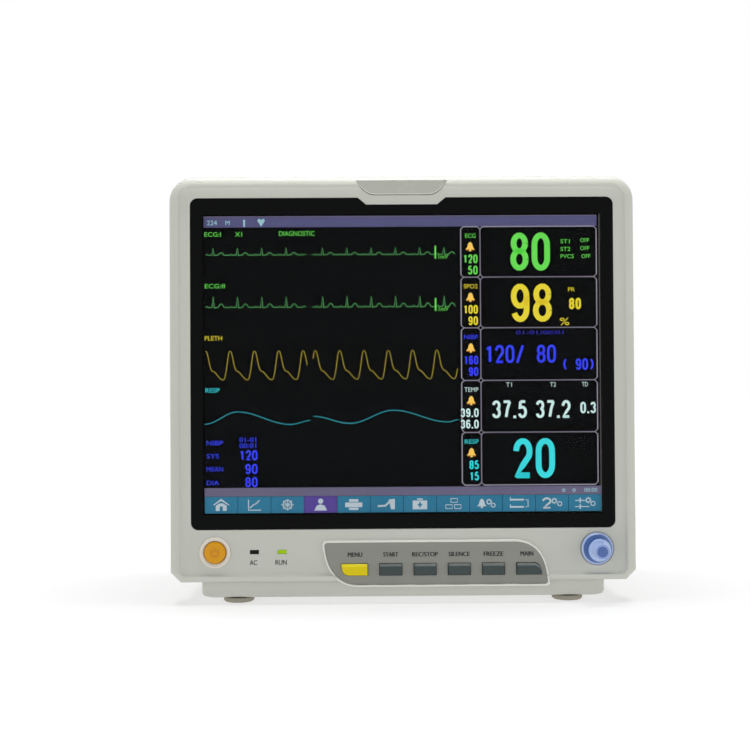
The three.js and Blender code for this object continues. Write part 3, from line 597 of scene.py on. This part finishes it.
def cut_out(obj, cutters):
    """Cuts the cutters out of a piece and throws them away."""
    for cutter in cutters:
        cut = obj.modifiers.new("hole", "BOOLEAN")
        cut.object = cutter
        cut.operation = "DIFFERENCE"
        cut.solver = "EXACT"
    bpy.context.view_layer.update()
    graph = bpy.context.evaluated_depsgraph_get()
    done = bpy.data.meshes.new_from_object(obj.evaluated_get(graph))
    obj.modifiers.clear()
    obj.data = done
    for cutter in cutters:
        bpy.data.objects.remove(cutter)


def panel_surround():
    """The lip of the bezel that runs round the key panel and carries it down to the plinth, coloured
    lighter than the case as a painted highlight.
    """
    front = PANEL.front - 0.9
    rows = []
    for grow, y in (
        (0.15, PANEL_DEEP), (0.15, front + 0.3), (0.4, front), (1.0, front), (1.5, front + 0.35),
        (1.8, front + 1.3), (1.8, PANEL_DEEP),
    ):
        rows.append([(x, y, z) for x, z in panel_outline(grow)])
    verts = [v for row in rows for v in row]
    faces = loop_faces(len(rows[0]), len(rows), True)
    # Same plastic as the case, made lighter: a painted highlight along the lip.
    pale = surface("panel_lip_painted_highlight", 0xDEDFD6, 0.35, spread=0.012)
    lip = outward(piece("panel_surround", verts, faces, pale, smooth=True))
    stands_for(lip, "case", "front_bezel")


bezel()
panel_surround()


# ---------------------------------------------------------------- keys

KEY_FLANGE = 1.2  # how far a key's hidden flange reaches past its cap, mm


def key_outline(name, place, grow, top):
    """A key's outline: the first key's lower left and the last key's upper right are swept."""
    left, right = place.left + KEY_FLANGE - grow, place.right - KEY_FLANGE + grow
    low, high = place.foot + KEY_FLANGE - grow, place.top - KEY_FLANGE + top
    points = [(left, high)]
    if name == "menu":
        points.append((left, high - 1.5))
        points += bend(points[-1], (left + 1, low), (left + 6, low), 8)
    else:
        points.append((left, low))
    points.append((right, low))
    if name == "main":
        points.append((right, low + 1.5))
        points += bend(points[-1], (right - 1, high), (right - 6, high), 8)
    else:
        points.append((right, high))
    return points


def keys():
    """Key caps with a wide chamfer along the upper edge; its upward faces are coloured lighter as a
    painted highlight.
    """
    # Lighter copies of the key colours: a painted highlight for the upper chamfer.
    slate_painted_highlight = surface("key_slate_painted_highlight", 0x6F7674, 0.35, spread=0.05)
    yellow_painted_highlight = surface("key_yellow_painted_highlight", 0xEBDC2A, 0.3, spread=0.03)
    panel_back, flange_back = FACE_BACK + 0.3, -62.4
    for name in ("menu", "start", "record", "silence", "freeze", "main"):
        place = Place("key_" + name)
        front, chamfer = place.front, 1.2
        rows = []
        for grow, top, y in (
            (KEY_FLANGE, KEY_FLANGE, flange_back), (KEY_FLANGE, KEY_FLANGE, panel_back),
            (0, 0, panel_back), (0, 0, front + chamfer), (-0.1, -0.3, front + chamfer - 0.4),
            (-0.2, -1.5, front + 0.15), (-0.4, -1.8, front),
        ):
            rows.append([(x, y, z) for x, z in key_outline(name, place, grow, top)])
        count = len(rows[0])
        faces = loop_faces(count, len(rows), False)
        last = count * (len(rows) - 1)
        faces += [list(range(count)), list(range(last, last + count))]
        colour, edge = ("yellow", yellow_painted_highlight) if name == "menu" else ("slate", slate_painted_highlight)
        verts = [v for row in rows for v in row]
        cap = outward(piece("cap_" + name, verts, faces, FINISHES[colour], "key_" + name))
        stands_for(cap, colour, "key_" + name)
        cap.data.materials.append(edge)
        # Upward-facing faces of the upper chamfer take the lighter colour, a painted highlight.
        for polygon in cap.data.polygons:
            if polygon.normal.z > 0.25 and polygon.center.y / MM < front + chamfer - 0.1:
                polygon.material_index = 1


keys()


# ---------------------------------------------------------------- knob, power button and ring

def knob():
    """Turn-and-push knob: pale flange, deep blue wall, pale cone and a small dark cap in its middle."""
    base, front = KNOB.back, KNOB.front
    radius = KNOB.wide / 2
    wall_low, wall_high = base - 2.5, base - 10.4
    profile = [
        (3.4, base), (radius - 0.3, base), (radius, base - 0.3), (radius, base - 1.2),
        (radius - 0.25, base - 1.8), (radius - 0.8, base - 2.2), (radius - 1.2, wall_low),
        (radius - 1.5, base - 3.4), (radius - 2.4, base - 7.8), (radius - 2.9, base - 9.6),
        (radius - 3.5, wall_high), (radius - 4.0, base - 11.0), (7.0, front + 3.6),
        (6.2, front + 1.2), (5.9, front + 0.4), (5.6, front), (5.2, front + 0.2), (5.1, front + 2),
    ]
    obj = turned("knob_body", profile, KNOB, FINISHES["blue"], "knob")
    stands_for(obj, "blue", "nav_knob")
    obj.data.materials.append(surface("knob_shoulder", 0x2F5AA0, 0.3, spread=0.08, coat=0.2))
    for polygon in obj.data.polygons:
        if wall_high < polygon.center.y / MM < wall_low:
            polygon.material_index = 1
    grip = obj.modifiers.new("edge", "BEVEL")
    grip.width = 0.1 * MM
    grip.limit_method = "ANGLE"
    grip.angle_limit = math.radians(40)
    edge, dark, ledge = CAP.wide / 2, 4.2, CAP.front + 0.1
    lid = [
        (0.4, CAP.front), (dark, CAP.front), (dark + 0.2, ledge), (edge - 0.3, ledge),
        (edge, CAP.front + 0.4), (edge, CAP.back), (0.4, CAP.back),
    ]
    cap = turned("knob_lid", lid, CAP, FINISHES["blue"], "knob")
    stands_for(cap, "navy", "knob_cap")
    cap.data.materials.append(FINISHES["navy"])
    for polygon in cap.data.polygons:
        middle = polygon.center / MM
        if math.hypot(middle.x - CAP.x, middle.z - CAP.z) < dark and middle.y < CAP.front + 0.2:
            polygon.material_index = 1


def power():
    """The power cap with a soft edge, the dished ring round it and the power sign."""
    front, back = POWER.front, POWER.back
    radius = 8.3
    cap = [
        (2.5, back), (2.5, back - 1.5), (radius + 1.2, back - 1.5), (radius + 1.2, back - 2.7),
        (radius, back - 2.7), (radius, front + 1.0), (radius - 0.25, front + 0.5),
        (radius - 0.8, front + 0.15), (radius - 2, front), (radius - 5, front + 0.2),
        (0.5, front + 0.3),
    ]
    button = turned("power_cap", cap, POWER, FINISHES["orange"], "power_button")
    stands_for(button, "orange", "power_button")
    inner, outer = radius + 0.5, RING.wide / 2
    lip, seat = RING.front, RING.back
    profile = [
        (inner, seat), (outer - 1.6, seat), (outer - 1.6, lip + 0.9), (outer, lip + 0.9),
        (outer, lip + 0.5), (outer - 0.3, lip + 0.15), (outer - 0.9, lip), (outer - 1.6, lip + 0.2),
        (inner + 0.5, lip + 0.8), (inner, lip + 1.1),
    ]
    collar = turned("power_collar", profile, RING, FINISHES["ring"], "case", hollow=True)
    stands_for(collar, "ring", "power_ring")
    sign = Layer()
    sign.ring(0, 0, 2.9, 0.7, 125, 415)
    sign.line([(0, -3.9), (0, -0.6)], 0.7)
    mark = surface("power_sign", 0xC87404, 0.4, spread=0.05)
    sign.lay("power_sign", mark, POWER.x, POWER.z, front - 0.02, "power_button")


def lamp_painted_highlight():
    """A thin light line round the alarm lamp, a painted highlight where the bead along its edge would
    catch the light.
    """
    line = Layer()
    outline = [(x, -z) for x, z in lamp_outline(-0.4)]
    line.line(outline[1:-1], 0.5)
    # The light colour is a painted highlight, not a lighter part.
    line.lay("lamp_painted_highlight", surface("lamp_painted_highlight_finish", 0xD6D7CD, 0.4, spread=0.02), 0, 0, LAMP.front - 0.02)


knob()
power()
lamp_painted_highlight()


# ---------------------------------------------------------------- printed labels

def labels():
    """Words under the lamps and over the keys."""
    ink = surface("label_ink", 0x4A4C4C, 0.6, spread=0.06)
    lamp_words = Layer()
    for words, node, width in (("AC", "led_ac", 5.8), ("RUN", "led_run", 8.8)):
        lamp = Place(node)
        middle = lamp.x - 0.8
        lamp_words.text(
            words, middle - width / 2, 4.8 - lamp.foot, middle + width / 2, 8.6 - lamp.foot, 0.25
        )
    lamp_words.lay("lamp_labels", ink, 0, 0, FACE_Y - 0.05)
    key_words = Layer()
    for words, node, width, nudge in (
        ("MENU", "key_menu", 11.4, 0.4), ("START", "key_start", 11.8, 0),
        ("REC/STOP", "key_record", 20.0, 0), ("SILENCE", "key_silence", 16.6, 0),
        ("FREEZE", "key_freeze", 15.4, 0), ("MAIN", "key_main", 10.2, -1.6),
    ):
        key = Place(node)
        middle = key.x + nudge
        key_words.text(
            words, middle - width / 2, -key.top - 7.6, middle + width / 2, -key.top - 4.2, 0.45
        )
    ink = surface("key_ink", 0x1E2022, 0.6, spread=0.06)
    key_words.lay("key_labels", ink, 0, 0, PANEL.front - 0.05)


labels()


# ---------------------------------------------------------------- glass

def glass():
    """The black border of the glass round an open window, and the clear pane in the window."""
    front, back = GLASS.front, GLASS.back
    margin = 0.6
    window_x = SCREEN_W / 2 + margin
    window_top, window_low = SCREEN_TOP + margin, SCREEN_TOP - SCREEN_H - margin
    outer = glass_outline(0)
    middle = (window_top + window_low) / 2

    def window_edge(x, z):
        """The window's point that belongs to a point of the outer outline."""
        if abs(x) <= NOTCH[0]:
            return x, window_top
        return math.copysign(window_x, x), window_top if z > middle else window_low

    inner = [window_edge(x, z) for x, z in outer]
    rows = [[(x, y, z) for x, z in line] for line, y in (
        (outer, back), (outer, front + 0.3), (glass_outline(-0.25), front),
        (inner, front), (inner, back),
    )]
    verts = [v for row in rows for v in row]
    border = piece("glass_border", verts, loop_faces(len(outer), len(rows), True), FINISHES["glass"])
    stands_for(outward(border), "glass", "screen_glass")
    x, z0, z1 = window_x - 0.05, window_low + 0.05, window_top - 0.05
    corners = [(-x, z0), (x, z0), (x, z1), (-x, z1)]
    verts = [(a, front + 0.02, b) for a, b in corners] + [(a, back, b) for a, b in corners]
    faces = loop_faces(4, 2, False) + [(0, 1, 2, 3), (7, 6, 5, 4)]
    pane = outward(piece("glass_window", verts, faces, clear_pane("clear_window")))
    stands_for(pane, "glass", "screen_glass")


glass()


# ---------------------------------------------------------------- what the display shows

TRACE_END = 196.6  # right end of the traces
SWEEP = (80.6, 83.4)  # the sweep's blank bar
BOX_X = (199.4, 214.4, 304.8)  # upright lines of the value boxes
BOX_Y = (8.8, 48.1, 87.5, 128.3, 168.6, 209.4)  # level lines of the value boxes

HEART_BEAT = (
    (-0.42, 0), (-0.30, 0.0), (-0.25, 0.16), (-0.20, 0.0), (-0.09, 0), (-0.05, 0.05), (0.0, 1.0),
    (0.05, -0.1), (0.08, 0), (0.2, 0.0), (0.27, 0.28), (0.34, 0.36), (0.40, 0.24), (0.45, 0.0),
)
PULSE_BEAT = (
    (0.0, 1.0), (0.05, 0.96), (0.10, 0.80), (0.17, 0.50), (0.23, 0.34), (0.28, 0.29), (0.37, 0.28),
    (0.45, 0.19), (0.55, 0.08), (0.64, 0.01), (0.74, 0.0), (0.79, 0.08), (0.85, 0.34), (0.91, 0.72),
    (0.95, 0.93),
)


def repeated(beat, first, period, left, right, base, tall):
    """A beat repeated between left and right; first is where one of them peaks."""
    line = []
    start = math.floor((left - first) / period) - 1
    count = math.ceil((right - left) / period) + 3
    for k in range(start, start + count):
        for t, v in beat:
            x = first + (k + t) * period
            if left <= x <= right:
                line.append((x, base - v * tall))
    return line


def eased(points, steps=14):
    """A smooth line that passes through the points."""
    line = []
    for (x0, y0), (x1, y1) in zip(points, points[1:]):
        for k in range(steps):
            t = k / steps
            ease = (1 - math.cos(math.pi * t)) / 2
            line.append((x0 + (x1 - x0) * t, y0 + (y1 - y0) * ease))
    return line + [points[-1]]


def traces(art):
    """Two ECG traces, the pulse and the breathing, each with a blank bar where it is redrawn."""
    left, right = 0.3, TRACE_END
    for base, tall in ((30.2, 5.6), (70.8, 8.2)):
        for first, a, b in ((7.2, left, SWEEP[0]), (92.0, SWEEP[1], right)):
            line = repeated(HEART_BEAT, first, 18.85, a, b, base, tall)
            art["trace_green"].line(line, 0.42)
        art["green"].rect(179.0, base - 6.6, 180.2, base + 3.4)
        art["green"].text("1mV", 182.0, base + 0.2, 189.6, base + 3.4)
    for first, a, b in ((1.2, left, SWEEP[0]), (86.0, SWEEP[1], right)):
        line = repeated(PULSE_BEAT, first, 18.85, a, b, 126.8, 22.4)
        art["trace_yellow"].line(line, 0.46)
    first = ((0.5, 161.0), (25.6, 151.6), (66.7, 161.6), (81.8, 158.6))
    second = ((84.4, 155.4), (112.8, 161.0), (146.3, 151.0), (189.0, 160.4), (TRACE_END, 158.6))
    for points in (first, second):
        art["trace_cyan"].line(eased(points), 0.55)


def trace_names(art):
    """The names beside the traces and the last cuff reading at the lower left."""
    green, blue = art["green"], art["blue"]
    green.text("ECG:I", 0.6, 12.3, 13.3, 15.7)
    green.text("X1", 24.4, 12.3, 29.8, 15.7)
    green.text("DIAGNOSTIC", 58.4, 11.7, 86.0, 15.4)
    green.text("ECG:II", 0.8, 52.4, 16.2, 55.8)
    art["yellow"].text("PLETH", 0.6, 92.8, 14.0, 96.2)
    art["cyan"].text("RESP", 1.0, 133.2, 11.8, 136.6)
    for words, y in (("NIBP", 173.8), ("SYS", 184.0), ("MEAN", 194.0), ("DIA", 204.6)):
        blue.text(words, 1.6, y, 1.6 + 3.2 * len(words), y + 3.5)
    for words, y in (("01-01", 171.4), ("00:01", 176.0)):
        blue.text(words, 27.0, y, 40.0, y + 3.5, 0.0)
    for words, x, y in (("120", 26.9, 181.2), ("90", 31.4, 191.8), ("80", 31.4, 202.0)):
        blue.digits(words, x, y, 41.0, y + 7.9, 1.35)


def value_boxes(art):
    """The outlines of the boxes; each corner is cut, so four meet round a small diamond."""
    cut = 2.1
    for top, foot in zip(BOX_Y, BOX_Y[1:]):
        for left, right in zip(BOX_X, BOX_X[1:]):
            outline = [
                (left + cut, top), (right - cut, top), (right, top + cut), (right, foot - cut),
                (right - cut, foot), (left + cut, foot), (left, foot - cut), (left, top + cut),
            ]
            art["line"].line(outline + outline[:1], 0.8)


def limits(art):
    """Name, alarm bell and alarm limits of each row, in the narrow boxes."""
    rows = (
        ("ECG", "120", "50", "green"), ("SPO2", "100", "90", "yellow"), ("NIBP", "160", "90", "blue"),
        ("TEMP", "39.0", "36.0", "pale"), ("RESP", "85", "15", "cyan"),
    )
    middle, right = (BOX_X[0] + BOX_X[1]) / 2, BOX_X[1] - 2.0
    for top, (name, upper, lower, colour) in zip(BOX_Y, rows):
        width = 2.7 * len(name)
        art[colour].text(name, middle - width / 2, top + 5.4, middle + width / 2, top + 8.8)
        bell(art["amber"], middle - 0.2, top + 15.4)
        art["deep_amber"].rect(middle - 3.4, top + 18.0, middle + 3.0, top + 18.5)
        for words, y in ((upper, top + 21.6), (lower, top + 30.4)):
            wide = 3.75 * len(words) - (1.0 if "." in words else 0)
            art[colour].digits(words, right - wide, y, right, y + 6.9, 1.2)


def values(art):
    """The measured values in the wide boxes."""
    green, yellow, blue, pale = art["green"], art["yellow"], art["blue"], art["pale"]
    green.digits("80", 237.8, 13.5, 268.8, 43.4, 4.5)
    for words, left, right, y in (
        ("ST1", 277.0, 284.2, 19.0), ("OFF", 292.4, 299.2, 18.2), ("ST2", 277.0, 284.6, 25.0),
        ("OFF", 292.4, 299.4, 24.4), ("PVCS", 277.0, 287.2, 30.7), ("OFF", 293.2, 300.2, 30.6),
    ):
        green.text(words, left, y, right, y + 3.1, 0.0)
    yellow.digits("98", 237.8, 53.2, 270.0, 83.2, 4.4)
    yellow.text("PR", 282.6, 56.4, 287.8, 59.6)
    yellow.digits("80", 283.2, 64.6, 292.6, 73.5, 1.7)
    yellow.text("%", 276.0, 80.0, 283.4, 85.8, 0.0)
    art["dim_blue"].text("01-01/00:01", 241.8, 89.8, 278.8, 92.8, 0.0)
    blue.digits("120/ 80", 217.4, 100.8, 272.8, 115.0, 2.0)
    blue.digits("( 90)", 278.4, 111.6, 302.0, 120.6, 1.5)
    for words, x in (("T1", 233.8), ("T2", 268.0), ("TD", 292.8)):
        pale.text(words, x, 130.0, x + 4.6, 133.4, 0.0)
    pale.digits("37.5", 222.8, 143.9, 250.0, 157.8, 2.1)
    pale.digits("37.2", 256.8, 143.9, 283.8, 157.8, 2.1)
    pale.digits("0.3", 291.4, 145.4, 303.6, 154.3, 1.5)
    art["cyan"].digits("20", 239.0, 173.3, 271.4, 204.3, 4.5)


def bars(art):
    """The status bar on top, the message strip and the row of menu cells below."""
    art["bar"].rect(0, 1.0, SCREEN_W - 2, 8.7)
    art["strip"].rect(0, 0, SCREEN_W - 2, 0.9)
    art["strip"].rect(0, 210.4, SCREEN_W, 217.0)
    white = art["white"]
    white.text("224", 2.6, 3.2, 10.4, 6.8)
    white.text("M", 17.0, 3.4, 20.2, 6.8)
    white.disc(31.4, 3.6, 0.9)
    white.rect(30.7, 4.4, 32.1, 8.2)
    heart(white, 44.6, 4.8)
    white.text("00:00", 294.0, 212.0, 304.0, 215.2, 0.0)
    for x in (278.0, 286.0):
        white.ring(x, 213.8, 1.0, 0.5)
    top, foot = 217.2, SCREEN_H - 0.4
    signs = (
        house, chart, flake, person, printer, arm, aid_case, windows, bell_sign, table_sign, two,
        sliders,
    )
    pitch = SCREEN_W / len(signs)
    for k, sign in enumerate(signs):
        left = k * pitch
        art["marked" if sign is person else "cell"].rect(left + 0.15, top, left + pitch - 0.15, foot)
        sign(art["icon"], left + pitch / 2, (top + foot) / 2)
    edge = art["edge"]
    edge.rect(-1.2, -1.4, SCREEN_W + 0.2, -0.9)
    edge.rect(-1.2, -1.4, -0.7, SCREEN_H)
    edge.rect(SCREEN_W - 0.5, -1.4, SCREEN_W + 0.4, SCREEN_H + 0.2)


# Each sign below is drawn round its middle, x and y.

def heart(layer, x, y):
    layer.poly([
        (x - 3.0, y - 1.4), (x, y + 3.4), (x + 3.0, y - 1.4), (x + 1.6, y - 3.0), (x, y - 1.8),
        (x - 1.6, y - 3.0),
    ])


def bell(layer, x, y):
    """An alarm bell about 7 mm high, drawn round its middle."""
    layer.poly([
        (x - 3.7, y + 2.4), (x + 3.5, y + 2.4), (x + 2.2, y + 0.6), (x + 1.7, y - 1.9),
        (x + 0.5, y - 3.3), (x - 0.5, y - 3.3), (x - 1.7, y - 1.9), (x - 2.2, y + 0.6),
    ])
    layer.disc(x, y + 3.1, 0.9, 10)


def house(icons, x, y):
    icons.poly([(x - 6.6, y), (x - 5.4, y), (x, y - 3.4), (x + 5.4, y), (x + 6.6, y), (x, y - 5)])
    icons.poly([(x - 4.2, y + 0.4), (x - 4.2, y + 4.4), (x - 1.2, y + 4.4), (x - 1.2, y - 1.4)])
    icons.poly([(x + 1.2, y - 1.4), (x + 1.2, y + 4.4), (x + 4.2, y + 4.4), (x + 4.2, y + 0.4)])
    icons.rect(x - 1.2, y - 1.4, x + 1.2, y + 1.0)


def chart(icons, x, y):
    icons.line([(x - 4.5, y - 4), (x - 4.5, y + 4), (x + 5, y + 4)], 0.8)
    icons.line([(x - 3.6, y + 2.4), (x - 0.4, y - 0.4), (x + 1.2, y - 0.8), (x + 4, y - 3.6)], 0.8)


def flake(icons, x, y):
    for k in range(4):
        dx, dy = 5.0 * math.cos(math.pi * k / 4), 4.4 * math.sin(math.pi * k / 4)
        icons.line([(x - dx, y - dy), (x + dx, y + dy)], 0.6)
    icons.ring(x, y, 3.4, 0.8)


def person(icons, x, y):
    icons.disc(x, y - 2.6, 2.0)
    icons.poly([(x - 5, y + 4.6), (x + 5, y + 4.6), (x + 3, y + 0.8), (x, y - 0.2), (x - 3, y + 0.8)])


def printer(icons, x, y):
    icons.rect(x - 6.6, y - 1.4, x + 6.6, y + 2.2)
    icons.rect(x - 3.6, y - 4.0, x + 3.6, y - 1.9)
    icons.rect(x - 3.6, y + 2.6, x + 3.6, y + 4.4)


def arm(icons, x, y):
    icons.line([(x - 7, y + 1.6), (x - 1, y + 1.2), (x + 3, y - 2.8)], 1.5)
    icons.poly([(x + 1.4, y - 3.6), (x + 6.2, y - 4.0), (x + 6.2, y + 4.0), (x + 3.2, y + 4.0)])


def aid_case(icons, x, y):
    for dx0, dy0, dx1, dy1 in (
        (-5.6, -2.6, -1.8, 4.2), (1.8, -2.6, 5.6, 4.2), (-1.8, -2.6, 1.8, -1.4), (-1.8, 2.8, 1.8, 4.2),
        (-1.8, -1.4, -0.6, 0.1), (0.6, -1.4, 1.8, 0.1), (-1.8, 1.3, -0.6, 2.8), (0.6, 1.3, 1.8, 2.8),
        (-2.2, -4.2, 2.2, -3.2),
    ):
        icons.rect(x + dx0, y + dy0, x + dx1, y + dy1)


def windows(icons, x, y):
    for dx, dy in ((-5.6, 0.8), (-1.6, -4.0), (1.2, 0.8)):
        a, b = x + dx, y + dy
        icons.line([(a, b), (a + 5, b), (a + 5, b + 3), (a, b + 3), (a, b)], 0.6)


def gear(icons, x, y):
    icons.ring(x, y, 1.5, 0.8)
    for k in range(8):
        angle = math.pi * k / 4
        icons.disc(x + 2.2 * math.cos(angle), y + 2.2 * math.sin(angle), 0.35, 6)


def bell_sign(icons, x, y):
    bell(icons, x - 3.2, y - 0.2)
    gear(icons, x + 2.4, y - 1.2)
    icons.ring(x + 5.6, y + 1.4, 1.5, 0.7)


def table_sign(icons, x, y):
    for dy in (-3.4, 2.2):
        icons.rect(x - 7.0, y + dy - 1.4, x - 6.4, y + dy + 1.6)
        icons.rect(x - 6.4, y + dy, x + 3.8, y + dy + 1.3)
    icons.line([(x + 5.0, y - 2.6), (x + 7.0, y - 2.6), (x + 7.0, y + 2.8), (x + 5.0, y + 2.8)], 0.6)


def two(icons, x, y):
    icons.figure("2", x - 7.6, y - 4.4, x - 0.4, y + 4.4, 1.5)
    gear(icons, x + 1.8, y - 1.6)
    icons.ring(x + 6.0, y + 0.6, 1.6, 0.7)


def sliders(icons, x, y):
    for k, dy in enumerate((-2.2, 2.6)):
        icons.rect(x - 7.6, y + dy, x + 1.4 + 2 * k, y + dy + 0.7)
        icons.rect(x - 4.2, y + dy - 1.6, x - 3.2, y + dy + 2.2)
    gear(icons, x + 2.6, y - 2.0)
    icons.ring(x + 6.2, y + 0.6, 1.6, 0.7)


def display():
    """Draws the whole screen in flat layers, one for each colour, just in front of the LCD."""
    order = (
        "edge", "bar", "strip", "cell", "marked", "line", "trace_green", "trace_yellow",
        "trace_cyan", "green", "yellow", "cyan", "blue", "dim_blue", "pale", "white", "icon",
        "deep_amber", "amber",
    )
    art = {name: Layer() for name in order}
    traces(art)
    trace_names(art)
    value_boxes(art)
    limits(art)
    values(art)
    bars(art)
    nearest, step = LCD.front - 0.04, 0.012
    for k, name in enumerate(order):
        obj = art[name].lay("display_" + name, LIT[name], SCREEN_LEFT, SCREEN_TOP, nearest - step * k)
        stands_for(obj, "lcd")


display()


# ---------------------------------------------------------------- stage, light and camera

def floor():
    """A plain pale floor that glows more with distance, so that it stays as white as the surround."""
    half, near, far = 6.0, 0.3, 2.0
    mesh = bpy.data.meshes.new("floor")
    corners = [(-half, -half, 0), (half, -half, 0), (half, half, 0), (-half, half, 0)]
    mesh.from_pydata(corners, [], [(0, 1, 2, 3)])
    finish = surface("floor_white", 0x9C9C9C, 0.8, spread=0.005, relief=0.0, shine=0.1)
    tree = finish.node_tree
    coords = tree.nodes.new("ShaderNodeTexCoord")
    reach = tree.nodes.new("ShaderNodeVectorMath")
    reach.operation = "LENGTH"
    tree.links.new(coords.outputs["Object"], reach.inputs[0])
    glow = tree.nodes.new("ShaderNodeMapRange")
    for name, value in (("From Min", near), ("From Max", far), ("To Min", 0.62), ("To Max", 1.0)):
        glow.inputs[name].default_value = value
    tree.links.new(reach.outputs["Value"], glow.inputs["Value"])
    shader = tree.nodes["Principled BSDF"]
    shader.inputs["Emission Color"].default_value = (1, 1, 1, 1)
    tree.links.new(glow.outputs["Result"], shader.inputs["Emission Strength"])
    mesh.materials.append(finish)
    obj = bpy.data.objects.new("floor", mesh)
    bpy.context.scene.collection.objects.link(obj)


def surround():
    """White round the horizon and darker overhead, the same from every side."""
    world = bpy.data.worlds.new("surround")
    bpy.context.scene.world = world
    world.use_nodes = True
    tree = world.node_tree
    coords = tree.nodes.new("ShaderNodeTexCoord")
    parts = tree.nodes.new("ShaderNodeSeparateXYZ")
    tree.links.new(coords.outputs["Generated"], parts.inputs[0])
    ramp = tree.nodes.new("ShaderNodeValToRGB")
    horizon, overhead = ramp.color_ramp.elements
    horizon.position, horizon.color = 0.36, (1, 1, 1, 1)
    overhead.position, overhead.color = 0.5, (0.05, 0.05, 0.05, 1)
    tree.links.new(parts.outputs["Z"], ramp.inputs["Fac"])
    back = tree.nodes["Background"]
    tree.links.new(ramp.outputs["Color"], back.inputs["Color"])
    back.inputs["Strength"].default_value = 1.0


def soft_box(name, place, aim, size, watts):
    """A rectangular lamp aimed at a point, in metres."""
    data = bpy.data.lights.new(name, "AREA")
    data.shape = "RECTANGLE"
    data.size, data.size_y = size
    data.energy = watts
    obj = bpy.data.objects.new(name, data)
    obj.location = place
    obj.rotation_euler = (Vector(aim) - Vector(place)).to_track_quat("-Z", "Y").to_euler()
    bpy.context.scene.collection.objects.link(obj)


def camera():
    """Nearly straight on, a little left of the middle, and held a touch out of level."""
    data = bpy.data.cameras.new("view")
    data.sensor_width = 36.0
    data.lens = 53.4
    data.clip_start, data.clip_end = 0.01, 100
    obj = bpy.data.objects.new("view", data)
    obj.location = (-0.0295, -0.928, 0.1652)
    pitch, yaw, roll = 0.74, 0.54, -0.34
    obj.rotation_euler = (math.radians(90 + pitch), 0, math.radians(-yaw))
    obj.rotation_euler.rotate_axis("Z", math.radians(roll))
    bpy.context.scene.collection.objects.link(obj)
    bpy.context.scene.camera = obj


floor()
surround()
soft_box("key", (-1.2, -1.2, 0.8), (0, 0, 0.2), (0.9, 0.9), 2)
soft_box("fill", (1.4, -0.9, 0.5), (0, 0, 0.15), (0.9, 0.9), 2)
soft_box("top", (0.0, 0.0, 1.5), (0, 0, 0.3), (1.2, 0.5), 27)
camera()
bpy.context.scene.view_settings.view_transform = "Standard"
